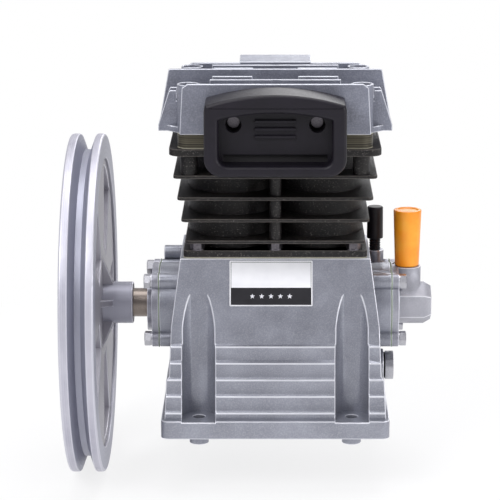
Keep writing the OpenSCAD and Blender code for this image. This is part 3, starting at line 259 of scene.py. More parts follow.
def make_turned(name, body, light, dark, rough):
    """Aluminium alloy turned at the rim and the hub: fine bright rings, with the web left as cast, and a
    painted blue-grey reflection on the faces inside the rim's outer lands.

    Real feed marks are a few tenths of a millimetre apart and are too fine to show, so they are drawn wider.
    """
    ring_mm = 0.8
    cloud_mm = 30
    material, tree, shader, place = new_material(name, body, 0.6, rough)
    centred = add(tree, "ShaderNodeVectorMath", {"operation": "SUBTRACT"}, i0=place,
                  i1=(0.0, 0.0, AXIS_Z * MM)).outputs["Vector"]
    parts = add(tree, "ShaderNodeSeparateXYZ", None, Vector=centred)
    flat = add(tree, "ShaderNodeCombineXYZ", None, Y=parts.outputs["Y"], Z=parts.outputs["Z"])
    reach = add(tree, "ShaderNodeVectorMath", {"operation": "LENGTH"},
                i0=flat.outputs["Vector"]).outputs["Value"]
    travel = add(tree, "ShaderNodeMath", {"operation": "ADD"}, i0=reach,
                 i1=parts.outputs["X"]).outputs["Value"]
    rings = add(tree, "ShaderNodeTexNoise", ALONG_A_LINE, W=travel, Scale=repeats(ring_mm),
                Detail=2.0).outputs["Fac"]
    cloud = add(tree, "ShaderNodeTexNoise", None, Vector=place, Scale=repeats(cloud_mm), Detail=3.0,
                Roughness=0.6).outputs["Fac"]
    tone = laid(tree, dark, body, cloud, ((0.35, 0.0), (0.65, 1.0)))
    tone = laid(tree, tone, light, rings, ((0.35, 0.0), (0.7, 0.35)))
    # painted reflection: a blue-grey tone on the turned faces inside the rim's outer lands, the groove's
    # flanks among them, stands for the dark bands that they reflect
    tone = laid(tree, tone, "#A4A5B3", reach, (((RIM_R - 0.2) * MM, 1.0), ((RIM_R - 0.05) * MM, 0.0)))
    in_rim = add(tree, "ShaderNodeMapRange", None, Value=reach, From_Min=(RIM_IN_R - 0.3) * MM,
                 From_Max=(RIM_IN_R + 0.3) * MM, To_Min=1.0, To_Max=0.0).outputs["Result"]
    past_hub = add(tree, "ShaderNodeMapRange", None, Value=reach, From_Min=(HUB_R - 0.2) * MM,
                   From_Max=(HUB_R + 0.3) * MM, To_Min=0.0, To_Max=1.0).outputs["Result"]
    web = add(tree, "ShaderNodeMath", {"operation": "MULTIPLY"}, i0=in_rim, i1=past_hub).outputs["Value"]
    as_cast = add(tree, "ShaderNodeMix", COLOURS, i0=cloud, i6="#918F98", i7="#A7A5AD").outputs[2]
    tone = add(tree, "ShaderNodeMix", COLOURS, i0=web, i6=tone, i7=as_cast).outputs[2]
    # painted highlight: the rounded edges are laid brighter
    tone = painted_edge_highlight(tree, tone, light, 0.3, 1.3)
    surfaced(tree, shader, tone, rings, 0.05, 0.6, rings, ((0.3, rough - 0.06), (0.7, rough + 0.1)))
    return material


def make_enamel(name):
    """Sand-cast iron under black enamel: coarse grit with pale flecks painted in as glints of light, and a
    brown tint.
    """
    grit_mm = 1.1
    patch_mm = 14
    material, tree, shader, place = new_material(name, "#0E0C0E", 0.0, 0.36, Specular_IOR_Level=0.4)
    grit = add(tree, "ShaderNodeTexNoise", None, Vector=place, Scale=repeats(grit_mm), Detail=3.0,
               Roughness=0.65).outputs["Fac"]
    patch = add(tree, "ShaderNodeTexNoise", None, Vector=place, Scale=repeats(patch_mm), Detail=4.0,
                Roughness=0.6).outputs["Fac"]
    tone = laid(tree, "#0A080B", "#171210", patch, ((0.35, 0.0), (0.7, 1.0)))
    # painted highlight: pale grey flecks where the grit is strong stand for glints on the enamel
    tone = laid(tree, tone, "#85807C", grit, ((0.58, 0.0), (0.72, 0.75)))
    # painted highlight: the rounded edges are laid paler than the black enamel
    tone = painted_edge_highlight(tree, tone, "#6A645F", 0.3, 1.9)
    surfaced(tree, shader, tone, grit, 0.5, 0.9, grit, ((0.3, 0.34), (0.75, 0.6)))
    return material


def make_moulded(name, body, light, rough, grain_mm=0.9, coat=0.0, gloss=0.3):
    """Moulded plastic, rubber or printed foil: an even colour, a fine tool texture and a soft gloss."""
    cloud_mm = 18
    material, tree, shader, place = new_material(name, body, 0.0, rough, IOR=1.49, Coat_Weight=coat,
                                                 Coat_Roughness=0.25, Specular_IOR_Level=gloss)
    grain = add(tree, "ShaderNodeTexNoise", None, Vector=place, Scale=repeats(grain_mm), Detail=2.0,
                Roughness=0.6).outputs["Fac"]
    cloud = add(tree, "ShaderNodeTexNoise", None, Vector=place, Scale=repeats(cloud_mm), Detail=3.0,
                Roughness=0.6).outputs["Fac"]
    tone = laid(tree, body, light, cloud, ((0.35, 0.0), (0.7, 0.8)))
    surfaced(tree, shader, tone, grain, 0.06, 0.5, grain, ((0.3, rough - 0.04), (0.7, rough + 0.07)))
    return material


def make_metal(name, body, light, rough, mark_mm, stretch=None, depth_mm=0.04):
    """Machined, plated, blackened or rough metal: two close tones in marks that can be drawn out one way."""
    material, tree, shader, place = new_material(name, body, 1.0, rough)
    if stretch:
        place = add(tree, "ShaderNodeMapping", None, Vector=place, Scale=stretch).outputs["Vector"]
    marks = add(tree, "ShaderNodeTexNoise", None, Vector=place, Scale=repeats(mark_mm), Detail=3.0,
                Roughness=0.6).outputs["Fac"]
    tone = laid(tree, body, light, marks, ((0.3, 0.0), (0.7, 1.0)))
    surfaced(tree, shader, tone, marks, depth_mm, 0.5, marks, ((0.3, rough - 0.05), (0.7, rough + 0.1)))
    return material


def make_fibre(name, body, light):
    """Pressed fibre: short matt fibres in two tones, drawn coarser than real ones so that they show."""
    fibre_mm = 1.4
    material, tree, shader, place = new_material(name, body, 0.0, 0.82)
    drawn_out = add(tree, "ShaderNodeMapping", None, Vector=place, Scale=(1.0, 3.0, 1.0)).outputs["Vector"]
    fibres = add(tree, "ShaderNodeTexNoise", None, Vector=drawn_out, Scale=repeats(fibre_mm), Detail=4.0,
                 Roughness=0.7).outputs["Fac"]
    tone = add(tree, "ShaderNodeMix", COLOURS, i0=fibres, i6=body, i7=light).outputs[2]
    surfaced(tree, shader, tone, fibres, 0.1, 0.6)
    return material


def make_plate_iron(name):
    """Ground cast iron under oil: dark olive, with the fine layers of the plate's edge."""
    layer_mm = 1.2
    material, tree, shader, place = new_material(name, "#4A4538", 0.5, 0.42)
    height = add(tree, "ShaderNodeSeparateXYZ", None, Vector=place).outputs["Z"]
    layers = add(tree, "ShaderNodeTexNoise", ALONG_A_LINE, W=height, Scale=repeats(layer_mm),
                 Detail=2.0).outputs["Fac"]
    bands = {"bands": ((0.3, "#2F2C25"), (0.55, "#4E493B"), (0.75, "#757061"))}
    tone = add(tree, "ShaderNodeValToRGB", bands, Fac=layers).outputs["Color"]
    surfaced(tree, shader, tone, layers, 0.15, 0.7)
    return material


def make_glass(name):
    """Clear pressed glass with oil behind it: a warm tint that shifts slowly."""
    cloud_mm = 6
    material, tree, shader, place = new_material(name, "#E8D9A8", 0.0, 0.05, IOR=1.5, Transmission_Weight=0.9)
    cloud = add(tree, "ShaderNodeTexNoise", None, Vector=place, Scale=repeats(cloud_mm), Detail=2.0,
                Roughness=0.6).outputs["Fac"]
    tone = add(tree, "ShaderNodeMix", COLOURS, i0=cloud, i6="#E8D9A8", i7="#F2EAD0").outputs[2]
    tree.links.new(tone, shader.inputs["Base Color"])
    return material


def make_finishes():
    """Every material of the pump head, by the name that the pieces call it."""
    rings_round_x = (8.0, 0.6, 0.6)
    rings_round_z = (1.0, 1.0, 6.0)
    return {
        # Castings: the head is the darkest and coarsest alloy and the elbow the palest of those left as cast
        "case": make_cast_alloy("die_cast_case_alloy", "#9A9CA7", "#DCDDE4", "#8A8C96", 0.34, 0.9, 0.03),
        "head": make_cast_alloy("die_cast_head_alloy", "#8B8E9C", "#CDCFD8", "#787A86", 0.42, 1.1, 0.12),
        "cover": make_cast_alloy("die_cast_cover_alloy", "#A6A6B0", "#DADAE2", "#8D8D98", 0.36, 0.9, 0.06),
        "elbow": make_cast_alloy("blasted_filler_alloy", "#B0B0B8", "#DEDEE4", "#9C9CA5", 0.46, 0.7, 0.08),
        "wheel": make_turned("turned_wheel_alloy", "#C0BFCA", "#DAD9E2", "#AFAEBC", 0.44),
        "enamel": make_enamel("black_enamelled_cast_iron"),
        # Mouldings: near black and dull for the filter and the breather, bright and glossy for the cap
        "filter_plastic": make_moulded("moulded_filter_nylon", "#15121A", "#1C1822", 0.42),
        "cap_plastic": make_moulded("moulded_orange_cap", "#FF9410", "#FFB232", 0.34, 1.2, 0.1, 0.5),
        "breather_plastic": make_moulded("moulded_breather_nylon", "#1A171B", "#241F24", 0.42),
        # Steel and iron: pale where plated or polished, grey where ground, dark where blackened or oiled
        "zinc": make_metal("zinc_plated_steel", "#B4B4BA", "#C8C8CE", 0.32, 1.2, None, 0.01),
        "blackened_steel": make_metal("blackened_steel", "#565359", "#7A767B", 0.36, 1.4),
        "turned_shaft": make_metal("turned_shaft_steel", "#7A716C", "#968C85", 0.34, 1.2, rings_round_x,
                                   0.02),
        "polished_strip": make_metal("polished_spring_steel", "#C6C6CB", "#E2E2E6", 0.2, 1.0),
        "ground_iron": make_metal("ground_ring_iron", "#6A6769", "#8A8789", 0.4, 0.9),
        "valve_plate": make_plate_iron("oiled_ground_iron"),
        # Alloy inside the case: turned marks round the pistons, a rough grain on the rods
        "turned_alloy_inside": make_metal("turned_piston_alloy", "#B7B7BC", "#D5D5DA", 0.34, 0.9,
                                          rings_round_z),
        "rough_alloy_inside": make_metal("cast_rod_alloy", "#9C9CA1", "#BDBDC2", 0.46, 1.6, None, 0.15),
        # Gaskets, seals and felt: matt and mottled
        "fibre_gasket": make_fibre("pale_fibre_gasket", "#9A9683", "#C2BEAB"),
        "green_gasket": make_fibre("green_fibre_gasket", "#8C9C84", "#B4C0AC"),
        "nitrile_rubber": make_moulded("nitrile_rubber", "#1C1A19", "#2A2726", 0.6),
        "filter_felt": make_fibre("dark_filter_felt", "#1B1A1C", "#2B292C"),
        # Glass: clear, with a warm tint
        "sight_glass": make_glass("oil_sight_glass"),
        # Printed foil: a lacquered sheen over flat inks
        "foil": make_moulded("printed_foil_white", "#ECECF0", "#F6F6F9", 0.36, 0.9, 0.3),
        "foil_ink": make_moulded("printed_foil_black", "#1D1C20", "#2A292E", 0.4, 0.9, 0.3),
        "foil_star": make_moulded("printed_foil_grey", "#D6D6DC", "#E6E6EB", 0.36, 0.9, 0.3),
    }


FINISHES = {}


# Meshes and pieces
def merged_copy(node):
    """A copy of a CAD node's mesh with its loose triangles joined."""
    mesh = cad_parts[node].data.copy()
    work = bmesh.new()
    work.from_mesh(mesh)
    bmesh.ops.remove_doubles(work, verts=work.verts, dist=0.01 * MM)
    work.to_mesh(mesh)
    work.free()
    if "sharp_face" in mesh.attributes:
        mesh.attributes.remove(mesh.attributes["sharp_face"])
    mesh.materials.clear()
    return mesh


def link(name, mesh):
    """A new object at the origin."""
    obj = bpy.data.objects.new(name, mesh)
    bpy.context.scene.collection.objects.link(obj)
    return obj


def settled(obj):
    """The object with its modifiers applied."""
    bpy.context.view_layer.update()
    graph = bpy.context.evaluated_depsgraph_get()
    mesh = bpy.data.meshes.new_from_object(obj.evaluated_get(graph), preserve_all_data_layers=True,
                                           depsgraph=graph)
    obj.modifiers.clear()
    obj.data = mesh
    return obj


def shade(obj, angle):
    """Smooth faces, with edges over the angle kept sharp."""
    for face in obj.data.polygons:
        face.use_smooth = True
    obj.data.set_sharp_from_angle(angle=math.radians(angle))
    return obj


def dress(obj, body, nodes, finish):
    """Gives a finished piece its finish and body, and hides the nodes that it stands for."""
    if not obj.data.materials:
        obj.data.materials.append(FINISHES[finish])
    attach(obj, body)
    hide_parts(*nodes)
    return obj


def even_flats(obj):
    """Shading normals that follow the large flat faces, so that roundings don't smear over them."""
    weighted = obj.modifiers.new("even flats", "WEIGHTED_NORMAL")
    weighted.keep_sharp = True
    weighted.weight = 100
    return settled(obj)


def rounded_copy(name, node, width_mm, angle=35.0, front_mm=0.0):
    """A CAD form with its outer edges rounded and marked for a painted edge highlight, the front rim more if
    asked.
    """
    mesh = merged_copy(node)
    work = bmesh.new()
    work.from_mesh(mesh)
    bmesh.ops.dissolve_limit(work, angle_limit=math.radians(0.5), verts=work.verts, edges=work.edges)
    mark = work.faces.layers.float.new("edge")
    limit = math.radians(angle)

    def round_off(width, steps, only_front):
        """Bevels the outer edges, or only those of the front rim."""
        front = min(v.co.y for v in work.verts) + 0.05 * MM
        outer = [e for e in work.edges if len(e.link_faces) == 2 and e.is_convex
                 and e.calc_face_angle(0.0) > limit
                 and (not only_front or max(v.co.y for v in e.verts) < front)]
        made = bmesh.ops.bevel(work, geom=outer, offset=width * MM, offset_type="OFFSET", segments=steps,
                               profile=0.5, affect="EDGES", clamp_overlap=False)
        # the rounding's faces are marked for the painted edge highlight
        for face in made["faces"]:
            face[mark] = 1.0

    if front_mm:
        round_off(front_mm, FRONT_STEPS, True)
    round_off(width_mm, EDGE_STEPS, False)
    work.to_mesh(mesh)
    work.free()
    return even_flats(shade(link(name, mesh), 32))


def rounded_piece(name, node, width_mm, body, slot, finish, **more):
    """A rounded CAD form as a finished piece that stands for its node."""
    return dress(rounded_copy(name, node, width_mm, **more), body, [node], finish)


def lathe_mesh(name, profile, steps, middle):
    """A closed solid turned round an upright axis, from (height, radius) points in millimetres."""
    work = bmesh.new()
    rows = []
    for k in range(steps):
        turn = 2 * math.pi * k / steps
        row = []
        for height, radius in profile:
            x = radius * math.cos(turn) + middle.x
            y = radius * math.sin(turn) + middle.y
            row.append(work.verts.new((x * MM, y * MM, height * MM)))
        rows.append(row)
    count = len(profile)
    for k in range(steps):
        here, after = rows[k], rows[(k + 1) % steps]
        for i in range(count):
            j = (i + 1) % count
            work.faces.new((here[i], after[i], after[j], here[j]))
    bmesh.ops.remove_doubles(work, verts=work.verts, dist=0.001 * MM)
    bmesh.ops.dissolve_degenerate(work, edges=work.edges, dist=0.0005 * MM)
    bmesh.ops.recalc_face_normals(work, faces=work.faces)
    mesh = bpy.data.meshes.new(name)
    work.to_mesh(mesh)
    work.free()
    return mesh


def rounded_line(points):
    """Points (height, radius, corner) with each corner turned to a small curve."""
    out = []
    count = len(points)
    for i, (x, y, corner) in enumerate(points):
        here = Vector((x, y))
        before = Vector(points[i - 1][:2])
        after = Vector(points[(i + 1) % count][:2])
        first, second = (before - here), (after - here)
        if corner <= 0 or not first.length or not second.length:
            out.append((x, y))
            continue
        half = first.angle(second) / 2
        back = min(corner / math.tan(half), first.length * 0.49, second.length * 0.49)
        start, end = here + first.normalized() * back, here + second.normalized() * back
        for k in range(ARC_STEPS + 1):
            t = k / ARC_STEPS
            spot = start * (1 - t) ** 2 + here * 2 * t * (1 - t) + end * t ** 2
            out.append((spot.x, spot.y))
    return out


def turned_piece(name, node, profile, steps, finish):
    """A moulding turned round the middle of its node, on a body of its own."""
    low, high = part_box(node)
    mesh = lathe_mesh(node + "_form", rounded_line(profile), steps, (low + high) / 2 / MM)
    return dress(shade(link(name, mesh), 50), node, [node], finish)


def island_centres(node):
    """The middle of each separate solid in a CAD node, in millimetres."""
    mesh = merged_copy(node)
    work = bmesh.new()
    work.from_mesh(mesh)
    seen, centres = set(), []
    for start in work.verts:
        if start.index in seen:
            continue
        stack, low, high = [start], Vector(start.co), Vector(start.co)
        seen.add(start.index)
        while stack:
            vert = stack.pop()
            for i in range(3):
                low[i], high[i] = min(low[i], vert.co[i]), max(high[i], vert.co[i])
            for edge in vert.link_edges:
                other = edge.other_vert(vert)
                if other.index not in seen:
                    seen.add(other.index)
                    stack.append(other)
        centres.append((low + high) / 2 / MM)
    work.free()
    bpy.data.meshes.remove(mesh)
    return centres


# Screws set on their places
def new_tree(name, inputs):
    """A geometry tree with named inputs."""
    tree = bpy.data.node_groups.new(name, "GeometryNodeTree")
    face = tree.interface
    face.new_socket("Geometry", in_out="INPUT", socket_type="NodeSocketGeometry")
    for label, kind, default in inputs:
        socket = face.new_socket(label, in_out="INPUT", socket_type=kind)
        if kind != "NodeSocketMaterial":
            socket.default_value = default
    face.new_socket("Geometry", in_out="OUTPUT", socket_type="NodeSocketGeometry")
    return tree, tree.nodes.new("NodeGroupInput").outputs, tree.nodes.new("NodeGroupOutput")


def grown(obj, tree, **values):
    """The object with a geometry tree applied; inputs are set by their identifiers."""
    modifier = obj.modifiers.new("grown", "NODES")
    modifier.node_group = tree
    ids = {s.name: s.identifier for s in tree.interface.items_tree
           if s.item_type == "SOCKET" and s.in_out == "INPUT"}
    for label, value in values.items():
        modifier[ids[label]] = value
    return settled(obj)


def points_mesh(name, places):
    """Bare points in metres, from millimetres."""
    mesh = bpy.data.meshes.new(name)
    mesh.from_pydata([tuple(c * MM for c in p) for p in places], [], [])
    return mesh


def copies_tree(name):
    """Copies of a shape on every point, turned as asked, with one finish."""
    tree, given, out = new_tree(name, (("Shape", "NodeSocketObject", None),
                                       ("Turn", "NodeSocketVector", (0.0, 0.0, 0.0)),
                                       ("Finish", "NodeSocketMaterial", None)))
    shape = add(tree, "GeometryNodeObjectInfo", {"transform_space": "ORIGINAL"}, Object=given["Shape"])
    turn = add(tree, "FunctionNodeEulerToRotation", None, Euler=given["Turn"])
    copies = add(tree, "GeometryNodeInstanceOnPoints", None, Points=given["Geometry"],
                 Instance=shape.outputs["Geometry"], Rotation=turn.outputs["Rotation"])
    real = add(tree, "GeometryNodeRealizeInstances", None, Geometry=copies.outputs["Instances"])
    done = add(tree, "GeometryNodeSetMaterial", None, Geometry=real.outputs["Geometry"],
               Material=given["Finish"])
    tree.links.new(done.outputs["Geometry"], out.inputs["Geometry"])
    return tree


def scatter(name, places, shape_mesh, turn, finish):
    """One piece of equal shapes at the places, made by the copies tree."""
    shape = link(name + "_shape", shape_mesh)
    obj = link(name, points_mesh(name, places))
    tree = bpy.data.node_groups.get("copies on points") or copies_tree("copies on points")
    grown(obj, tree, Shape=shape, Turn=turn, Finish=FINISHES[finish])
    bpy.data.objects.remove(shape)
    return shade(obj, 32)


def hex_screw_mesh(name, flats, height, washer_r, washer_t, shank_r, shank_l):
    """A hex screw along +X: washer, head with a bevelled crown, and shank below, in millimetres."""
    crown = 0.45
    crown_share = 0.88
    washer_edge = 0.25
    washer_steps = 32
    shank_steps = 24
    work = bmesh.new()

    def ring(x, radius, count):
        """Points on a circle round X."""
        turns = [2 * math.pi * k / count for k in range(count)]
        return [work.verts.new((x * MM, radius * MM * math.cos(t), radius * MM * math.sin(t))) for t in turns]

    def skin(rings):
        """A closed skin over a row of rings."""
        count = len(rings[0])
        for low, high in zip(rings, rings[1:]):
            for k in range(count):
                j = (k + 1) % count
                work.faces.new((low[k], low[j], high[j], high[k]))
        work.faces.new(list(reversed(rings[0])))
        work.faces.new(rings[-1])

    corner = flats / math.sqrt(3)
    skin([ring(washer_t, corner, 6), ring(washer_t + height - crown, corner, 6),
          ring(washer_t + height, corner * crown_share, 6)])
    skin([ring(0.0, washer_r, washer_steps), ring(washer_t - washer_edge, washer_r, washer_steps),
          ring(washer_t, washer_r - washer_edge, washer_steps)])
    skin([ring(-shank_l, shank_r, shank_steps), ring(0.0, shank_r, shank_steps)])
    bmesh.ops.recalc_face_normals(work, faces=work.faces)
    mesh = bpy.data.meshes.new(name)
    work.to_mesh(mesh)
    work.free()
    return mesh


def box_mesh(name, low, high):
    """A box from corner to corner, in millimetres."""
    work = bmesh.new()
    bmesh.ops.create_cube(work, size=1.0)
    for vert in work.verts:
        vert.co = Vector([(low[i] + (vert.co[i] + 0.5) * (high[i] - low[i])) * MM for i in range(3)])
    mesh = bpy.data.meshes.new(name)
    work.to_mesh(mesh)
    work.free()
    return mesh


# Sizes and colours that a user would change
class PumpSizes(bpy.types.PropertyGroup):
    """Sizes of the visible pieces, in metres."""
    case_edge: bpy.props.FloatProperty(
        name="Case edges", description="Rounding of the crankcase's cast edges",
        default=0.7 * MM, unit="LENGTH")
    head_edge: bpy.props.FloatProperty(
        name="Head edges", description="Rounding of the head's cast edges",
        default=0.6 * MM, unit="LENGTH")
    block_edge: bpy.props.FloatProperty(
        name="Block edges", description="Rounding of the block's fins",
        default=0.6 * MM, unit="LENGTH")
    small_edge: bpy.props.FloatProperty(
        name="Cover edges", description="Rounding of the covers and the elbow",
        default=0.5 * MM, unit="LENGTH")
    screw_edge: bpy.props.FloatProperty(
        name="Screw edges", description="Rounding of screws and small turned parts",
        default=0.3 * MM, unit="LENGTH")
    plastic_edge: bpy.props.FloatProperty(
        name="Filter edges", description="Rounding of the filter's front rim",
        default=2.8 * MM, unit="LENGTH")


class PumpStage(bpy.types.PropertyGroup):
    """The floor, the lamps and the camera."""
    floor_colour: bpy.props.FloatVectorProperty(
        name="Floor colour", description="Colour of the floor under the object", subtype="COLOR", size=3,
        default=linear("#F4F4F6")[:3])
    lamp_level: bpy.props.FloatProperty(
        name="Lamp level", description="Share of the plain lamp level", default=1.0, min=0.0)
    camera_tilt: bpy.props.FloatProperty(
        name="Camera tilt", description="Angle of the camera above the horizon", subtype="ANGLE",
        default=math.radians(13.5))
    camera_distance: bpy.props.FloatProperty(
        name="Camera distance", description="From the camera to the point that it aims at", default=1.7573,
        unit="LENGTH")
    camera_lens: bpy.props.FloatProperty(
        name="Lens", description="Focal length in millimetres", default=164.9)
    camera_shift: bpy.props.FloatProperty(
        name="Shift", description="Sideways shift of the picture", default=-0.0506)


def in_mm(value):
    """A length of the user's in millimetres."""
    return value / MM


# The pieces
class PUMP_OT_kept(bpy.types.Operator):
    """Gives each piece that keeps its own mesh its finish"""
    bl_idname = "pump_head.kept_pieces"
    bl_label = "Kept pieces"

    def execute(self, context):
        FINISHES.update(make_finishes())
        for node, finish in KEPT.items():
            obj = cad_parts[node]
            if not obj.material_slots:
                obj.data.materials.append(None)
            for slot in obj.material_slots:
                slot.link = "OBJECT"
                slot.material = FINISHES[finish]
        return {"FINISHED"}


class PUMP_OT_crankcase(bpy.types.Operator):
    """Makes the die-cast crankcase with its steps, channels and feet"""
    bl_idname = "pump_head.crankcase"
    bl_label = "Crankcase"

    def execute(self, context):
        edge = in_mm(context.scene.pump_sizes.case_edge)
        rounded_piece("crankcase_skin", "crankcase", edge, "pump", "cast_case", "case")
        return {"FINISHED"}


class PUMP_OT_block(bpy.types.Operator):
    """Makes the finned cylinder block in black enamelled iron"""
    bl_idname = "pump_head.cylinder_block"
    bl_label = "Cylinder block"

    def execute(self, context):
        edge = in_mm(context.scene.pump_sizes.block_edge)
        rounded_piece("cylinder_block_skin", "cylinder_block", edge, "pump", "black_iron", "enamel")
        return {"FINISHED"}


class PUMP_OT_head(bpy.types.Operator):
    """Makes the finned cylinder head, the valve plate and the head's screws"""
    bl_idname = "pump_head.cylinder_head"
    bl_label = "Cylinder head"

    def execute(self, context):
        sizes = context.scene.pump_sizes
        edge, screw_edge = in_mm(sizes.head_edge), in_mm(sizes.screw_edge)
        rounded_piece("cylinder_head_skin", "cylinder_head", edge, "pump", "cast_head", "head")
        rounded_piece("valve_plate_ground", "valve_plate", PLATE_EDGE, "pump", "valve_steel", "valve_plate")
        rounded_piece("head_socket_screws", "head_bolts", screw_edge, "pump", "dark_bolts", "blackened_steel")
        return {"FINISHED"}


class PUMP_OT_covers(bpy.types.Operator):
    """Makes both bearing covers and the filler elbow"""
    bl_idname = "pump_head.covers"
    bl_label = "Covers and elbow"

    def execute(self, context):
        edge = in_mm(context.scene.pump_sizes.small_edge)
        for side in ("left", "right"):
            rounded_piece(side + "_cover_skin", side + "_cover", edge, "pump", "cast_cover", "cover")
        rounded_piece("filler_elbow_skin", "filler_elbow", edge, "pump", "blasted_alloy", "elbow")
        return {"FINISHED"}


class PUMP_OT_filter(bpy.types.Operator):
    """Makes the moulded air filter with its base and screws"""
    bl_idname = "pump_head.air_filter"
    bl_label = "Air filter"

    def execute(self, context):
        sizes = context.scene.pump_sizes
        rim, screw_edge = in_mm(sizes.plastic_edge), in_mm(sizes.screw_edge)
        rounded_piece("filter_housing_moulded", "filter_housing", MOULDED_EDGE, "pump", "filter_plastic",
                      "filter_plastic", front_mm=rim)
        rounded_piece("filter_base_moulded", "filter_base", MOULDED_EDGE, "pump", "filter_plastic",
                      "filter_plastic")
        # painted shade: these screws sit deep in the filter's recesses, and their dark blackened finish
        # stands for the shade there
        rounded_piece("filter_pan_screws", "filter_screws", screw_edge, "pump", "dark_bolts",
                      "blackened_steel")
        return {"FINISHED"}


class PUMP_OT_flywheel(bpy.types.Operator):
    """Makes the belt wheel with its groove, spokes and gussets"""
    bl_idname = "pump_head.flywheel"
    bl_label = "Belt wheel"

    def execute(self, context):
        edge = in_mm(context.scene.pump_sizes.screw_edge)
        rounded_piece("belt_wheel", "flywheel", WHEEL_EDGE, "crank", "wheel_alloy", "wheel", angle=30.0)
        rounded_piece("wheel_washer", "flywheel_washer", edge, "crank", "zinc_steel", "zinc")
        rounded_piece("wheel_screw", "flywheel_bolt", edge, "crank", "zinc_steel", "zinc")
        return {"FINISHED"}


class PUMP_OT_screws(bpy.types.Operator):
    """Makes the covers' hex screws and the block's screws on their places"""
    bl_idname = "pump_head.screws"
    bl_label = "Hex screws"

    def execute(self, context):
        for side, face, turn in (("left", -COVER_FACE_X, math.pi), ("right", COVER_FACE_X, 0.0)):
            node = side + "_cover_bolts"
            places = [(face, c.y, c.z) for c in island_centres(node)]
            mesh = hex_screw_mesh(node + "_form", **COVER_SCREW)
            obj = scatter(side + "_cover_screws", places, mesh, (0.0, 0.0, turn), "zinc")
            dress(obj, "pump", [node], "zinc")
        edge = in_mm(context.scene.pump_sizes.screw_edge)
        rounded_piece("block_screws", "block_bolts", edge, "pump", "dark_bolts", "blackened_steel")
        return {"FINISHED"}


def cap_profile():
    """The filler cap from its stem up: a grip that widens upwards, then a rim round a dish."""
    low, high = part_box("filler_cap")
    stem_z, top_z = low.z / MM, high.z / MM
    stem_r = 7.5
    foot_r = 9.2
    top_r = 10.7
    rim_r = 8.4
    dish_r = 7.2
    dish_depth = 0.9
    stem_corner = 0.5
    foot_corner = 2.4
    top_corner = 1.6
    rim_corner = 0.8
    dish_corner = 1.0
    dish_z = top_z - dish_depth
    return [(stem_z, 0.0, 0.0), (stem_z, stem_r, stem_corner), (CAP_SEAT_Z, stem_r, 0.0),
            (CAP_SEAT_Z, foot_r, foot_corner), (top_z, top_r, top_corner), (top_z, rim_r, rim_corner),
            (dish_z, dish_r, dish_corner), (dish_z, 0.0, 0.0)]


def breather_profile():
    """The breather from its stem up: four ribs, then a wider head."""
    low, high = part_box("breather")
    base_z, top_z = low.z / MM, high.z / MM
    stem_r = 4.2
    rib_r = 4.3
    waist_r = 3.7
    head_r = 6.3
    crown_r = 6.1
    ribs = 4
    rib_pitch = 2.0
    rib_low = 0.3
    rib_high = 1.0
    rib_end = 1.3
    rib_corner = 0.2
    stem_corner = 0.4
    neck_corner = 0.3
    head_step = 0.4
    head_corner = 0.8
    crown_corner = 1.4
    points = [(base_z, 0.0, 0.0), (base_z, stem_r, stem_corner)]
    for k in range(ribs):
        rib = BREATHER_RIB_Z + k * rib_pitch
        points += [(rib, stem_r, rib_corner), (rib + rib_low, rib_r, rib_corner),
                   (rib + rib_high, rib_r, rib_corner), (rib + rib_end, waist_r, rib_corner)]
    points += [(BREATHER_HEAD_Z, stem_r, neck_corner), (BREATHER_HEAD_Z + head_step, head_r, head_corner),
               (top_z, crown_r, crown_corner), (top_z, 0.0, 0.0)]
    return points


class PUMP_OT_fittings(bpy.types.Operator):
    """Makes the filler cap, the breather, the sight glass ring and the drain plug"""
    bl_idname = "pump_head.fittings"
    bl_label = "Cap, breather and plugs"

    def execute(self, context):
        edge = in_mm(context.scene.pump_sizes.screw_edge)
        turned_piece("filler_cap_moulded", "filler_cap", cap_profile(), CAP_STEPS, "cap_plastic")
        turned_piece("breather_moulded", "breather", breather_profile(), BREATHER_STEPS, "breather_plastic")
        for node, name in (("sight_glass_ring", "sight_ring_plated"), ("drain_plug", "drain_plug_plated")):
            rounded_piece(name, node, edge, "pump", "zinc_steel", "zinc")
        return {"FINISHED"}


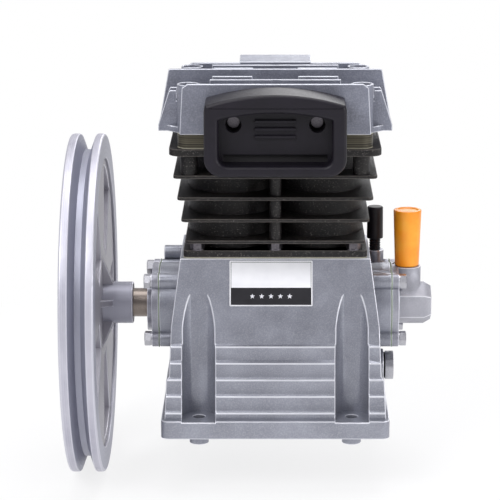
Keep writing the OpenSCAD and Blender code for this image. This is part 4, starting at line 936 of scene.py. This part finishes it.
class PUMP_OT_name_plate(bpy.types.Operator):
    """Makes the bare foil plate with its frame line, dark band and plain stars"""
    bl_idname = "pump_head.name_plate"
    bl_label = "Bare plate"

    def execute(self, context):
        mesh = merged_copy("name_plate")
        front = min(mesh.polygons, key=lambda p: -p.area if p.normal.y < -0.3 else 0.0)
        normal = Vector(front.normal)
        up = (Vector((0.0, 0.0, 1.0)) - normal * normal.z).normalized()
        side = Vector((1.0, 0.0, 0.0))
        level = max(v.co.dot(normal) for v in mesh.vertices)
        spots = [v.co for v in mesh.vertices if abs(v.co.dot(normal) - level) < 0.05 * MM]
        rises = [p.dot(up) for p in spots]
        wides = [p.x for p in spots]

        def printed(outline, low_mm, high_mm, ink):
            """A thin printed layer over an outline of (x, rise) points, between two heights."""
            work = bmesh.new()
            work.from_mesh(mesh)
            flat = [side * x + up * rise for x, rise in outline]
            bottom = [work.verts.new(p + normal * (level + low_mm * MM)) for p in flat]
            top = [work.verts.new(p + normal * (level + high_mm * MM)) for p in flat]
            faces = [work.faces.new(top), work.faces.new(list(reversed(bottom)))]
            for k in range(len(outline)):
                j = (k + 1) % len(outline)
                faces.append(work.faces.new((bottom[k], bottom[j], top[j], top[k])))
            bmesh.ops.recalc_face_normals(work, faces=faces)
            for face in faces:
                face.material_index = ink
            work.to_mesh(mesh)
            work.free()

        for name in ("foil", "foil_ink", "foil_star"):
            mesh.materials.append(FINISHES[name])
        black, grey = 1, 2
        band_low, band_high = -0.02, 0.03
        star_low, star_high = 0.01, 0.07
        band_share = 0.4
        inset = 1.0 * MM
        line = 0.35 * MM
        x0, x1 = min(wides) + inset, max(wides) - inset
        u0, u1 = min(rises) + inset, max(rises) - inset
        band = u0 + band_share * (u1 - u0)
        for left, right, low, high in ((x0, x1, u0, band), (x0, x1, u1 - line, u1),
                                       (x0, x0 + line, band, u1 - line), (x1 - line, x1, band, u1 - line)):
            corners = [(left, low), (right, low), (right, high), (left, high)]
            printed(corners, band_low, band_high, black)
        tip_r = 2.0 * MM
        notch_r = 0.9 * MM
        star_pitch = 7.0 * MM
        stars = 5
        tips = 5
        for k in range(stars):
            centre_x = (x0 + x1) / 2 + (k - (stars - 1) / 2) * star_pitch
            star = []
            for i in range(2 * tips):
                angle = math.pi / 2 + i * math.pi / tips
                reach = notch_r if i % 2 else tip_r
                star.append((centre_x + reach * math.cos(angle), (u0 + band) / 2 + reach * math.sin(angle)))
            printed(star, star_low, star_high, grey)
        dress(link("name_plate_foil", mesh), "pump", ["name_plate"], "foil")
        return {"FINISHED"}


# The room round the pump head
def join_two(tree, share, first, second, output):
    """Mixes two shaders and joins them to the tree's output."""
    blend = add(tree, "ShaderNodeMixShader", None, i0=share, i1=first, i2=second)
    add(tree, output, None, Surface=blend.outputs["Shader"])


def make_floor(stage):
    """A pale matt floor that the camera sees fade to white."""
    level = CAD_BOX[0][2] / MM - FLOOR_GAP
    floor = link("floor", box_mesh("floor", (-FLOOR_REACH, -FLOOR_REACH, level - FLOOR_THICK),
                                   (FLOOR_REACH, FLOOR_REACH, level)))
    paint = bpy.data.materials.new("pale_floor_paint")
    paint.use_nodes = True
    tree = paint.node_tree
    tree.nodes.clear()
    place = add(tree, "ShaderNodeTexCoord").outputs["Object"]
    far = add(tree, "ShaderNodeVectorMath", {"operation": "LENGTH"}, i0=place).outputs["Value"]
    matt = add(tree, "ShaderNodeBsdfDiffuse", None, Color=(*stage.floor_colour, 1.0))
    white = add(tree, "ShaderNodeEmission", None, Color=(1.0, 1.0, 1.0, 1.0), Strength=1.0)
    path = add(tree, "ShaderNodeLightPath").outputs
    seen = path["Is Camera Ray"]
    for ray in ("Is Glossy Ray", "Is Transmission Ray"):
        seen = add(tree, "ShaderNodeMath", {"operation": "ADD", "use_clamp": True}, i0=seen,
                   i1=path[ray]).outputs["Value"]
    fade = add(tree, "ShaderNodeMapRange", None, Value=far, From_Min=0.12, From_Max=0.55, To_Min=0.8,
               To_Max=1.0).outputs["Result"]
    share = add(tree, "ShaderNodeMath", {"operation": "MULTIPLY"}, i0=seen, i1=fade).outputs["Value"]
    join_two(tree, share, matt.outputs["BSDF"], white.outputs["Emission"], "ShaderNodeOutputMaterial")
    floor.data.materials.append(paint)


def make_room(scene):
    """A soft grey room that brightens upwards, seen by the camera as plain white."""
    world = bpy.data.worlds.new("soft_room")
    world.use_nodes = True
    scene.world = world
    tree = world.node_tree
    tree.nodes.clear()
    way = add(tree, "ShaderNodeTexCoord").outputs["Generated"]
    height = add(tree, "ShaderNodeSeparateXYZ", None, Vector=way).outputs["Z"]
    rise = add(tree, "ShaderNodeMapRange", None, Value=height, From_Min=-0.2, From_Max=1.0, To_Min=0.0,
               To_Max=1.0).outputs["Result"]
    tone = add(tree, "ShaderNodeValToRGB", {"bands": SKY_BANDS}, Fac=rise).outputs["Color"]
    sky = add(tree, "ShaderNodeBackground", None, Color=tone, Strength=SKY_LEVEL)
    plain = add(tree, "ShaderNodeBackground", None, Color=(1.0, 1.0, 1.0, 1.0), Strength=1.0)
    path = add(tree, "ShaderNodeLightPath").outputs
    join_two(tree, path["Is Camera Ray"], sky.outputs["Background"], plain.outputs["Background"],
             "ShaderNodeOutputWorld")


def make_lamps(stage):
    """Four square lamps turned to the middle of the part."""
    middle = Vector((0.0, 0.0, LAMP_AIM_Z))
    for name, spot, size, power in LAMPS:
        lamp = bpy.data.lights.new(name, "AREA")
        lamp.shape = "SQUARE"
        lamp.size = size
        lamp.energy = power * stage.lamp_level
        obj = link(name, lamp)
        obj.location = spot
        obj.rotation_euler = (middle - Vector(spot)).to_track_quat("-Z", "Y").to_euler()


def make_camera(scene, stage):
    """The camera, in front of the part and a little above it."""
    camera = bpy.data.cameras.new("camera")
    camera.lens = stage.camera_lens
    camera.sensor_width = SENSOR_MM
    camera.shift_x = stage.camera_shift
    camera.clip_end = FAR_CLIP
    eye = link("camera", camera)
    tilt = stage.camera_tilt
    away = Vector((0.0, -math.cos(tilt), math.sin(tilt)))
    eye.location = Vector((0.0, 0.0, CAMERA_AIM_Z)) + away * stage.camera_distance
    eye.rotation_euler = (math.pi / 2 - tilt, 0.0, 0.0)
    scene.camera = eye


class PUMP_OT_stage(bpy.types.Operator):
    """Sets up the pale floor, the soft lamps, the world and the camera"""
    bl_idname = "pump_head.stage"
    bl_label = "Floor, light and camera"

    def execute(self, context):
        scene = context.scene
        scene.view_settings.view_transform = "Standard"
        make_floor(scene.pump_stage)
        make_room(scene)
        make_lamps(scene.pump_stage)
        make_camera(scene, scene.pump_stage)
        return {"FINISHED"}


PIECES = (PUMP_OT_kept, PUMP_OT_crankcase, PUMP_OT_block, PUMP_OT_head, PUMP_OT_covers, PUMP_OT_filter,
          PUMP_OT_flywheel, PUMP_OT_screws, PUMP_OT_fittings, PUMP_OT_name_plate, PUMP_OT_stage)


class PUMP_PT_panel(bpy.types.Panel):
    """Lists the pieces of the pump head"""
    bl_idname = "PUMP_PT_panel"
    bl_label = "Pump head"
    bl_space_type = "VIEW_3D"
    bl_region_type = "UI"
    bl_category = "Pump head"

    def draw(self, context):
        for settings in (context.scene.pump_sizes, context.scene.pump_stage):
            for name in settings.__annotations__:
                self.layout.prop(settings, name)
        for piece in PIECES:
            self.layout.operator(piece.bl_idname)


CLASSES = (PumpSizes, PumpStage, *PIECES, PUMP_PT_panel)


def register():
    """Makes the settings, the pieces and the panel known."""
    for item in CLASSES:
        bpy.utils.register_class(item)
    bpy.types.Scene.pump_sizes = bpy.props.PointerProperty(type=PumpSizes)
    bpy.types.Scene.pump_stage = bpy.props.PointerProperty(type=PumpStage)


def unregister():
    """Takes the settings, the pieces and the panel away again."""
    del bpy.types.Scene.pump_stage
    del bpy.types.Scene.pump_sizes
    for item in reversed(CLASSES):
        bpy.utils.unregister_class(item)


def main():
    """Builds every piece."""
    register()
    for piece in PIECES:
        group, name = piece.bl_idname.split(".")
        getattr(getattr(bpy.ops, group), name)()


if __name__ == "__main__":
    main()
